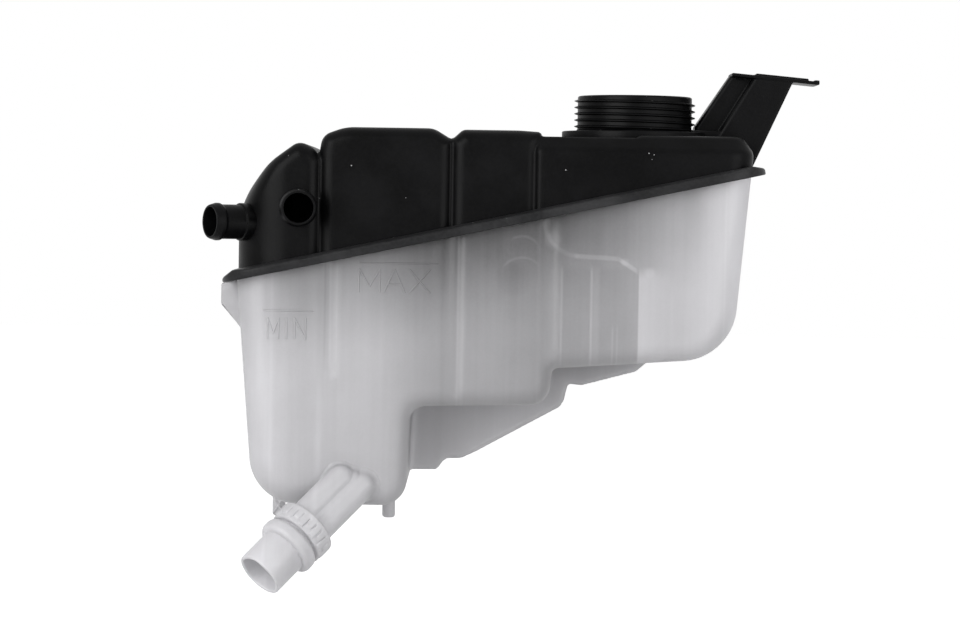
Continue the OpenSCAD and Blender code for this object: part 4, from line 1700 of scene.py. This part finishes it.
@dataclass(frozen=True)
class Bracket:
    """Hollow bracket arm with its side channel, top plate, pad, lip and fixing hole."""

    form: Form
    foot: float = 142.1
    lobe_top: float = 172.3
    width: float = 22.0
    skin: float = 3.0
    plate_x: float = 158.8
    plate_z: float = 203.2
    plate_length: float = 41.4
    plate_fall: float = 5.0
    plate: float = 1.6
    over: float = 0.5
    arm_top: float = 29.0
    arm_edge: float = 0.8
    pad: tuple[float, float, float] = (11.4, 36.4, 1.0)
    pad_margin: float = 2.0
    lip: Pair = (2.4, 0.6)
    hole: Pair = (8.5, 18.4)
    channel: tuple[float, float, float] = (11.0, 6.0, 27.0)
    channel_edge: float = 2.0
    web: tuple[Point, Point] = ((-4.0, 0.4, -3.0), (12.0, 3.4, 3.6))
    web_edge: float = 1.3
    grid: tuple[Point, Point, Point] = ((140.0, -12.9, 152.0), (202.0, 12.9, 206.0), (0.62, 0.62, 0.62))

    def arm(self) -> Solid:
        """The arm, open at the back and recessed on its front side.

        Returns:
            The solid.
        """
        form, top = self.form, self.plate_z - self.plate / 2
        seam = form.seam_at(form.right)
        outline = prism([
            (self.foot, self.lobe_top - 4, 0), (form.right - 4, seam + 1.5, 0),
            (form.right + 2.6, seam + 4, 0.8),
            (self.plate_x + self.arm_top, top - self.arm_top * tan(self.plate_fall), 0.4),
            (self.plate_x, top, 1.5), (self.foot, self.lobe_top + 5.2, 1.0),
        ], Plane.FRONT)
        wide, deep, run = self.channel
        low, high, near = self.lobe_top - 1, self.plate_z - self.plate, self.plate_x
        groove = prism([
            (near - run, low, 0), (near + wide - run + 8, low, 0),
            (near + wide - 1, high - 1, 0), (near - 13, high + 1, 0),
        ], Plane.FRONT)
        half = self.width / 2
        recess = groove & between(1, -half - 5, -half + deep)
        inside = outline.grown(-self.skin) & between(1, -half + self.skin, half + OVERSHOOT)
        arm = outline.rounded(between(1, -half, half), self.arm_edge).carved(recess, self.channel_edge)
        return arm - (inside - recess.grown(self.skin))

    @property
    def drill(self) -> Solid:
        """Cutter of the fixing hole, in the plate's frame."""
        across, place = self.hole
        return disc(across / 2, 2, (place, 0, 0), -OVERSHOOT, OVERSHOOT, 0.1)

    def tilted(self, solid: Solid) -> Solid:
        """Moves a solid from the plate's frame to the tank's."""
        return local(solid, tilt(self.plate_fall), (self.plate_x, 0.0, self.plate_z))

    def top(self) -> Solid:
        """Top plate with its pad, lip and fixing hole.

        Returns:
            The solid.
        """
        half, long = self.width / 2, self.plate_length
        start, end, high = self.pad
        lip, rise = self.lip
        side = half - self.pad_margin
        flat = block((0, -half - self.over, -self.plate), (long, half + self.over, 0), 0.5)
        flat = flat | block((start, -side, -1.0), (end, side, high), 0.5)
        flat = flat | block((long - lip, -half, -self.plate / 2), (long, half, rise), 0.4)
        return self.tilted(flat - self.drill)

    def build(self, material: bpy.types.Material) -> bpy.types.Object:
        """Skins the bracket with the small web at its foot.

        Args:
            material: Its material.

        Returns:
            The piece.
        """
        corner = (self.foot, -self.width / 2, self.lobe_top)
        low, high = (tuple(a + b for a, b in zip(corner, end)) for end in self.web)
        web = block(low, high, self.web_edge)
        solid = (self.arm() - self.tilted(self.drill)) | self.top() | web
        return add_mesh("bracket", *Skin(solid, *self.grid).build(), material)


@dataclass(frozen=True)
class Outlet:
    """Angled outlet: double-ridged pipe, collar, sealing ring and spigot."""

    form: Form
    start: Pair = (-15.3, 11.8)
    drop: float = 45.1
    turn_out: float = 29.5
    length: float = 64.9
    width: float = 22.0
    ridge: float = 13.0
    ridge_ends: Pair = (-2.0, 3.5)
    core: float = 10.8
    root_fillet: float = 2.4
    root_reach: float = 2.2
    spigot: float = 22.4
    spigot_bore: float = 19.0
    spigot_depth: float = 24.0
    wear: float = 0.22
    wear_waves: int = 5
    wear_from: Pair = (58.0, 65.0)
    pipe_bore: float = 7.4
    pipe_end: float = 4.0
    collar: float = 28.6
    collar_length: float = 9.0
    rim: float = 2.6
    band: float = 0.7
    seal: float = 28.4
    seal_length: float = 6.8
    seal_from: float = 16.6
    seal_gap: float = 1.2
    seal_edge: float = 2.3
    teeth: int = 14
    tooth_turn: float = 15.0
    first_tooth: float = 150.0
    tooth_ends: Pair = (6.2, 8.4)
    bite: float = 1.3
    grid_side: float = 0.6
    grid_ends: Pair = (-14.0, 0.8)
    step: float = 0.62
    sharp: float = 50.0

    @property
    def rotation(self) -> Array:
        """Outlet frame: third column to the mouth, first column up beside the pipe."""
        c, s = math.cos(math.radians(self.turn_out)), math.sin(math.radians(self.turn_out))
        return tilt(-90.0 - self.drop) @ np.array([[1, 0, 0], [0, c, -s], [0, s, c]])

    @property
    def origin(self) -> Point:
        """Root of the outlet on the tank's front wall."""
        return (self.start[0], -self.form.half_depth, self.start[1])

    def solid(self, wall: Solid) -> Solid:
        """The outlet in its own frame, blended into the wall there.

        Args:
            wall: The lower shell's outer form, in the outlet's frame.

        Returns:
            The solid.
        """
        spread = (self.width - self.ridge) / 2
        seal_low = self.length - self.seal_from - self.seal_length
        low = seal_low - self.seal_gap - self.collar_length
        centre, end = (0.0, 0.0, 0.0), low + 2
        near, far = (
            rod(self.ridge / 2, (side * spread, 0, start), (side * spread, 0, end))
            for side, start in zip((-1, 1), self.ridge_ends)
        )
        pipe = near.filleted(far, 1.2) | rod(self.core / 2, centre, (0, 0, end))
        pipe = pipe.filleted(wall, self.root_fillet) & pipe.grown(self.root_reach)
        pipe = pipe.filleted(disc(self.collar / 2, 2, centre, low, low + self.rim, 0.9), 0.8)
        pipe = pipe | disc(self.collar / 2 - self.band, 2, centre, low + 1, low + self.collar_length, 0.5)
        pipe = pipe | disc(self.spigot / 2, 2, centre, low + 1, self.length, 0.5)
        for tooth in self.steps(low):
            pipe = pipe | tooth
        pipe = pipe | disc(self.seal / 2, 2, centre, seal_low, seal_low + self.seal_length, self.seal_edge)
        mouth = self.length - self.spigot_depth
        bore = disc(self.spigot_bore / 2, 2, centre, mouth, self.length + OVERSHOOT, 0.3)

        def worn(x: Array, y: Array, z: Array) -> Array:
            """Distance to the bore, which waves near the mouth."""
            wave = np.sin(self.wear_waves * np.arctan2(y, x)) * smooth(z, *self.wear_from)
            return bore.at(x, y, z) - self.wear * wave

        duct = rod(self.pipe_bore / 2, centre, (0, 0, self.length - self.pipe_end))
        return pipe.carved(Solid(worn), 0.5) - duct

    def steps(self, low: float) -> list[Solid]:
        """Stepped pads round the collar's band, like teeth where they meet the outline.

        Args:
            low: Where the collar starts.

        Returns:
            The pads.
        """
        half = self.collar / 2
        pads = []
        for k in range(self.teeth):
            angle = math.radians(self.first_tooth + self.tooth_turn * k)
            c, s = math.cos(angle), math.sin(angle)
            pad = block((-2.0, -1.5, low + 1.5), (0.0, 1.5, low + self.tooth_ends[k % 2]), 0.35)
            turn = np.array([[c, -s, 0.0], [s, c, 0.0], [0.0, 0.0, 1.0]])
            pads.append(local(pad, turn, (half * c, half * s, 0.0)))
        return pads

    def build(self, body: Solid, material: bpy.types.Material) -> bpy.types.Object:
        """Skins the outlet in its own frame and blends it into the body's wall.

        Args:
            body: The lower shell's outer form.
            material: Its material.

        Returns:
            The piece.
        """
        back = tuple(-self.rotation.T @ np.array(self.origin))
        wall = local(body, self.rotation.T, back)
        reach = self.collar / 2 + self.grid_side
        start, past = self.grid_ends
        solid = self.solid(wall) - wall.grown(-self.bite)
        skin = Skin(solid, (-reach, -reach, start), (reach, reach, self.length + past), (self.step,) * 3)
        vertices, faces = skin.build()
        vertices = placed(vertices, self.rotation, self.origin)
        return shaded(add_mesh("outlet", vertices, faces, material), self.sharp)


@dataclass(frozen=True)
class Peg:
    """Locating peg with its root boss and, on one of them, crossed ribs in front."""

    name: str
    place: float
    crossed: bool
    width: float = 6.2
    length: float = 10.0
    tip: float = 1.5
    boss: float = 8.4
    root: float = 8.0
    rib: float = 0.55
    rib_half: float = 2.4
    rib_ends: Pair = (-1.0, -8.2)
    margin: float = 0.6
    reach: float = 5.0
    step: float = 0.45
    sharp: float = 50.0

    def build(self, material: bpy.types.Material) -> bpy.types.Object:
        """Skins the peg.

        Args:
            material: Its material.

        Returns:
            The piece.
        """
        r, x, reach = self.width / 2, self.place, self.reach
        centre = (x, 0.0, 0.0)
        peg = disc(r, 2, centre, -self.length, self.root, self.tip)
        peg = peg | disc(self.boss / 2, 2, centre, 0.0, self.root, 0.4)
        if self.crossed:
            high, low = self.rib_ends
            for run in (-self.rib_half, self.rib_half):
                peg = peg | rod(self.rib, (x - run, -r + 0.2, high), (x + run, -r + 0.2, low))
        low, high = -self.length - self.margin, self.root + self.margin
        skin = Skin(peg, (x - reach, -reach, low), (x + reach, reach, high), (self.step,) * 3)
        return shaded(add_mesh(self.name, *skin.build(), material), self.sharp)


@dataclass(frozen=True)
class Baffle:
    """Plate across the lower shell with two flow holes."""

    form: Form
    name: str
    place: float
    low: float
    thickness: float = 2.0
    hole: float = 16.0
    foot: float = -9.0
    head: float = 8.0
    sink: float = 0.6
    reach: float = 2.4
    step: Point = (0.8, 1.6, 1.6)
    sharp: float = 50.0

    def build(self, body: Solid, material: bpy.types.Material) -> bpy.types.Object:
        """Skins the plate, cut to the shell's inside.

        Args:
            body: The lower shell's outer form.
            material: Its material.

        Returns:
            The piece.
        """
        form = self.form
        x, half, top = self.place, form.half_depth, form.seam_at(self.place)
        plate = between(0, x - self.thickness / 2, x + self.thickness / 2)
        plate = plate & between(2, self.foot, top - self.head) & body.grown(self.sink - form.wall)
        for side in (-1, 1):
            spot = (x, side * half / 2, self.low + form.wall + self.hole)
            plate = plate - disc(self.hole / 2, 0, spot, x - OVERSHOOT, x + OVERSHOOT, 0.1)
        low, high = (x - self.reach, -half - 2, self.low - 4), (x + self.reach, half + 2, top - 5)
        skin = Skin(plate, low, high, self.step)
        return shaded(add_mesh(self.name, *skin.build(), material), self.sharp)


@dataclass(frozen=True)
class SideHook:
    """Hook on the left wall and the black tongue that covers it."""

    form: Form
    reach: float = 9.8
    drop: float = 10.2
    root: float = 25.0
    sunk: float = 1.5
    width: float = 22.0
    bevel: float = 0.7
    gap: float = 0.3
    tongue_reach: float = 8.6
    tongue_lift: float = 0.9
    tongue_end: float = 0.8
    tongue_width: float = 26.0
    tongue_bevel: float = 0.3
    rim: float = 4.6

    def hook(self, material: bpy.types.Material) -> bpy.types.Object:
        """Natural hook, sloping down into the wall.

        Args:
            material: Its material.

        Returns:
            The piece.
        """
        form = self.form
        tip, inner = form.left - self.reach, form.left + self.sunk
        seam = form.seam_at(tip)
        foot = seam - self.root
        corners = [(tip, seam - self.drop), (form.left_wall(foot) + 1.4, foot), (inner, foot)]
        corners += [(x, form.seam_at(x) - self.gap / form.lean[0]) for x in (inner, tip)]
        return shaded(add_mesh("side_hook", *bevelled(corners, self.width, self.bevel), material))

    def tongue(self, material: bpy.types.Material) -> bpy.types.Object:
        """Black tongue of the flange.

        Args:
            material: Its material.

        Returns:
            The piece.
        """
        form, left = self.form, self.form.u0
        tip, rim, inner, lift = left - self.tongue_reach, left - self.rim, left + self.sunk, self.tongue_lift
        corners = [
            (tip, lift), (rim, lift), (left - 1.0, form.joint), (inner, form.joint),
            (inner, form.flange_height - 0.1), (left, form.flange_height - 0.02),
            (tip, lift + self.tongue_end),
        ]
        vertices, faces = bevelled(corners, self.tongue_width, self.tongue_bevel)
        return shaded(add_mesh("hook_tongue", form.on_seam(vertices), faces, material))


@dataclass(frozen=True)
class Word:
    """Word in plain strokes: its letters, lower left corner, letter size and pitch."""

    text: str
    x: float
    z: float
    wide: float
    tall: float
    pitch: float


STROKES = {
    "M": [((0, 0), (0, 1), (0.5, 0.25), (1, 1), (1, 0))],
    "A": [((0, 0), (0.5, 1), (1, 0)), ((0.2, 0.36), (0.8, 0.36))],
    "X": [((0, 0), (1, 1)), ((0, 1), (1, 0))],
    "I": [((0.5, 0), (0.5, 1))],
    "N": [((0, 0), (0, 1), (1, 0), (1, 1))],
}


@dataclass(frozen=True)
class LevelMarks:
    """Raised level lines and plain level words on the front wall."""

    form: Form
    thickness: float = 0.9
    height: float = 0.36
    sides: int = 10
    lines: tuple[tuple[float, float, float], ...] = ((111.9, -13.2, 22.5), (89.5, -57.3, -34.4))
    words: tuple[Word, ...] = (
        Word("MAX", -13.6, 98.4, 9.6, 10.9, 11.5), Word("MIN", -55.2, 76.4, 5.0, 9.8, 6.2),
    )

    def strokes(self) -> list[list[Pair]]:
        """Collects the lines and the letters' strokes.

        Returns:
            All strokes as paths on the front wall.
        """
        found = [[(low, z), (high, z)] for z, low, high in self.lines]
        for word in self.words:
            for k, letter in enumerate(word.text):
                start = word.x + k * word.pitch
                for path in STROKES[letter]:
                    found.append([(start + a * word.wide, word.z + b * word.tall) for a, b in path])
        return found

    def build(self, material: bpy.types.Material) -> bpy.types.Object:
        """Sweeps a low round ridge along every stroke with Geometry Nodes.

        Args:
            material: Its material.

        Returns:
            The piece.
        """
        radius = self.thickness / 2
        face = radius - self.form.half_depth - self.height
        values = {"Thickness": radius * MM, "Face": face * MM}
        tree = GeometryTree("level_marks", *values)
        parts = []
        for path in self.strokes():
            for a, b in zip(path, path[1:]):
                ends = [(p[0] * MM, 0.0, p[1] * MM) for p in (a, b)]
                parts.append(tree.node("GeometryNodeCurvePrimitiveLine", Start=ends[0], End=ends[1]))
        joined = tree.node("GeometryNodeJoinGeometry", Geometry=parts)
        free, circle = {"Curve": joined, "Normal": (0.0, 1.0, 0.0)}, {"Radius": tree["Thickness"]}
        upright = tree.node("GeometryNodeSetCurveNormal", {"mode": "FREE"}, **free)
        section = tree.node("GeometryNodeCurvePrimitiveCircle", Resolution=self.sides, **circle)
        place = tree.node("ShaderNodeCombineXYZ", Y=tree["Face"])
        moved = tree.node("GeometryNodeTransform", Geometry=tree.swept(upright, section), Translation=place)
        return shaded(tree.build(moved, material, values))


@dataclass(frozen=True)
class JointRim:
    """Natural rim of the lower shell that the flange sits on."""

    form: Form
    reach: float = 4.3
    gap: float = 0.3
    grid: tuple[Point, Point, Point] = ((-78.0, -58.0, 98.0), (174.0, 58.0, 160.0), (1.5, 1.5, 0.7))
    sharp: float = 50.0

    def plan(self) -> Solid:
        """Rounded rectangle of the joint, endless along the seam's own Z.

        Returns:
            The solid.
        """
        form, half = self.form, self.form.half_depth
        left, right = (form.u0, form.left_corner), (form.u1, form.right_corner)
        ring = ((left, -half), (right, -half), (right, half), (left, half))
        flat = prism([(u, v, radius) for (u, radius), v in ring], Plane.TOP)
        c, s = form.lean
        return Solid(lambda x, y, z: flat.at(x * c + (z - form.seam_height) * s, y, z))

    def build(self, material: bpy.types.Material) -> bpy.types.Object:
        """Skins the rim.

        Args:
            material: Its material.

        Returns:
            The piece.
        """
        form, plan = self.form, self.plan()
        band = (plan.grown(self.reach) - plan.grown(-form.wall)) & form.below(form.joint)
        band = band & -form.below(self.gap)
        return shaded(add_mesh("joint_rim", *Skin(band, *self.grid).build(), material), self.sharp)


@dataclass(frozen=True)
class Softbox:
    """Square lamp that faces the tank."""

    name: str
    place: Point
    size: float
    power: float

    def build(self, aim: Point) -> None:
        """Adds the lamp.

        Args:
            aim: Where it points, in millimetres.
        """
        light = bpy.data.lights.new(self.name, "AREA")
        light.size = self.size * MM
        light.energy = self.power
        obj = bpy.data.objects.new(self.name, light)
        obj.location = Vector(self.place) * MM
        facing = Vector(aim) * MM - obj.location
        obj.rotation_euler = facing.to_track_quat("-Z", "Y").to_euler()
        bpy.context.scene.collection.objects.link(obj)


@dataclass(frozen=True)
class Studio:
    """Soft photo studio: white ground, softboxes, pale surroundings and the camera."""

    ground: float = -45.0
    ground_reach: float = 3000.0
    ground_tint: Colour = (0.9, 0.9, 0.9)
    ground_glow: float = 0.72
    aim: Point = (45.0, 0.0, 90.0)
    lamps: tuple[Softbox, ...] = (
        Softbox("key_softbox", (-680.0, -900.0, 480.0), 900.0, 14.0),
        Softbox("fill_softbox", (900.0, -1000.0, 260.0), 900.0, 9.0),
        Softbox("top_softbox", (120.0, -60.0, 980.0), 1100.0, 1.0),
    )
    surroundings: float = 0.32
    sensor: float = 36.0
    lens: float = 113.6
    stand: Point = (42.07, -1438.0, 137.8)
    pitch: float = 2.107
    roll: float = 0.9

    def build(self) -> None:
        """Sets up floor, lamps, world and camera."""
        self.floor()
        for lamp in self.lamps:
            lamp.build(self.aim)
        self.world()
        self.camera()
        bpy.context.scene.view_settings.view_transform = "Standard"

    def floor(self) -> None:
        """Plain white floor under the tank."""
        tree = ShaderTree(bpy.data.materials.new("studio_floor"))
        matt = tree.node("ShaderNodeBsdfDiffuse", Color=(*self.ground_tint, 1.0))
        lit = tree.node("ShaderNodeEmission", Color=WHITE, Strength=tree.seen() * self.ground_glow)
        material = tree.finish(tree.node("ShaderNodeAddShader", **{"0": matt, "1": lit}))
        corners = [(a * self.ground_reach, b * self.ground_reach, self.ground) for a, b in RING]
        add_mesh("studio_floor", corners, [(0, 1, 2, 3)], material)

    def world(self) -> None:
        """Pale surroundings, pure white where the camera sees them."""
        tree = ShaderTree(bpy.data.worlds.new("studio_world"))
        strength = self.surroundings + tree.seen() * (1.0 - self.surroundings)
        shade = tree.node("ShaderNodeBackground", Color=WHITE, Strength=strength)
        bpy.context.scene.world = tree.finish(shade, "ShaderNodeOutputWorld")

    def camera(self) -> None:
        """Camera at the photograph's angle."""
        data = bpy.data.cameras.new("photo_camera")
        data.sensor_width = self.sensor
        data.lens = self.lens
        obj = bpy.data.objects.new("photo_camera", data)
        pitch, roll = math.radians(self.pitch), math.radians(self.roll)
        ahead = Vector((0.0, math.cos(pitch), -math.sin(pitch)))
        across = Vector((1.0, 0.0, 0.0))
        above = across.cross(ahead)
        right = across * math.cos(roll) + above * math.sin(roll)
        up = above * math.cos(roll) - across * math.sin(roll)
        turn = Matrix((right, up, -ahead)).transposed().to_4x4()
        obj.matrix_world = Matrix.Translation(Vector(self.stand) * MM) @ turn
        bpy.context.scene.collection.objects.link(obj)
        bpy.context.scene.camera = obj


def upper_pieces(form: Form) -> list[bpy.types.Object]:
    """Builds the black upper shell.

    Args:
        form: The shells' shared sizes.

    Returns:
        Its pieces.
    """
    black = BlackPlastic().build()
    # The flange takes a lighter copy of the black plastic: painted light for the brighter front face that it
    # shows.
    flange = BlackPlastic("flange_plastic_lit", (0.012, 0.012, 0.0125), (0.03, 0.03, 0.031), dust=0.07).build()
    barbs = [
        Barb("left_barb", (-67.15, -38.72, 129.7), (-0.848, -0.530, 0.0)),
        Barb("front_barb", (-42.0, -50.0, 136.6), (0.0698, -0.9976, 0.0)),
    ]
    upper = UpperBody(form, barb_bores=tuple(barb.hole() for barb in barbs))
    neck = FillerNeck()
    pieces = [upper.build(black), SeamFlange(form).build(flange)]
    pieces += [barb.build(black) for barb in barbs]
    pieces += [neck.build(black), neck.thread(black)]
    return pieces + [Bracket(form).build(black), SideHook(form).tongue(black)]


def lower_pieces(form: Form) -> list[bpy.types.Object]:
    """Builds the natural lower shell.

    Args:
        form: The shells' shared sizes.

    Returns:
        Its pieces.
    """
    natural = NaturalPlastic().build()
    lower = LowerBody(form)
    outside = lower.outside()
    pegs = [Peg("right_peg", 0.0, False), Peg("left_peg", -52.2, True)]
    baffles = [
        Baffle(form, "left_baffle", -26.4, 0.0),
        Baffle(form, "middle_baffle", 31.0, lower.floor(31.0)),
        Baffle(form, "right_baffle", lower.mid_right, lower.end_height),
    ]
    pieces = [lower.build(natural), Outlet(form).build(outside, natural)]
    pieces += [peg.build(natural) for peg in pegs]
    pieces += [baffle.build(outside, natural) for baffle in baffles]
    parts = (SideHook(form).hook(natural), JointRim(form).build(natural), LevelMarks(form).build(natural))
    return [*pieces, *parts]


def main() -> None:
    """Builds every piece, dresses it and sets up the studio."""
    form = Form()
    for obj in lower_pieces(form):
        place_piece(obj, LOWER_NODE)
    for obj in upper_pieces(form):
        place_piece(obj, UPPER_NODE)
    Studio().build()


if __name__ == "__main__":
    main()
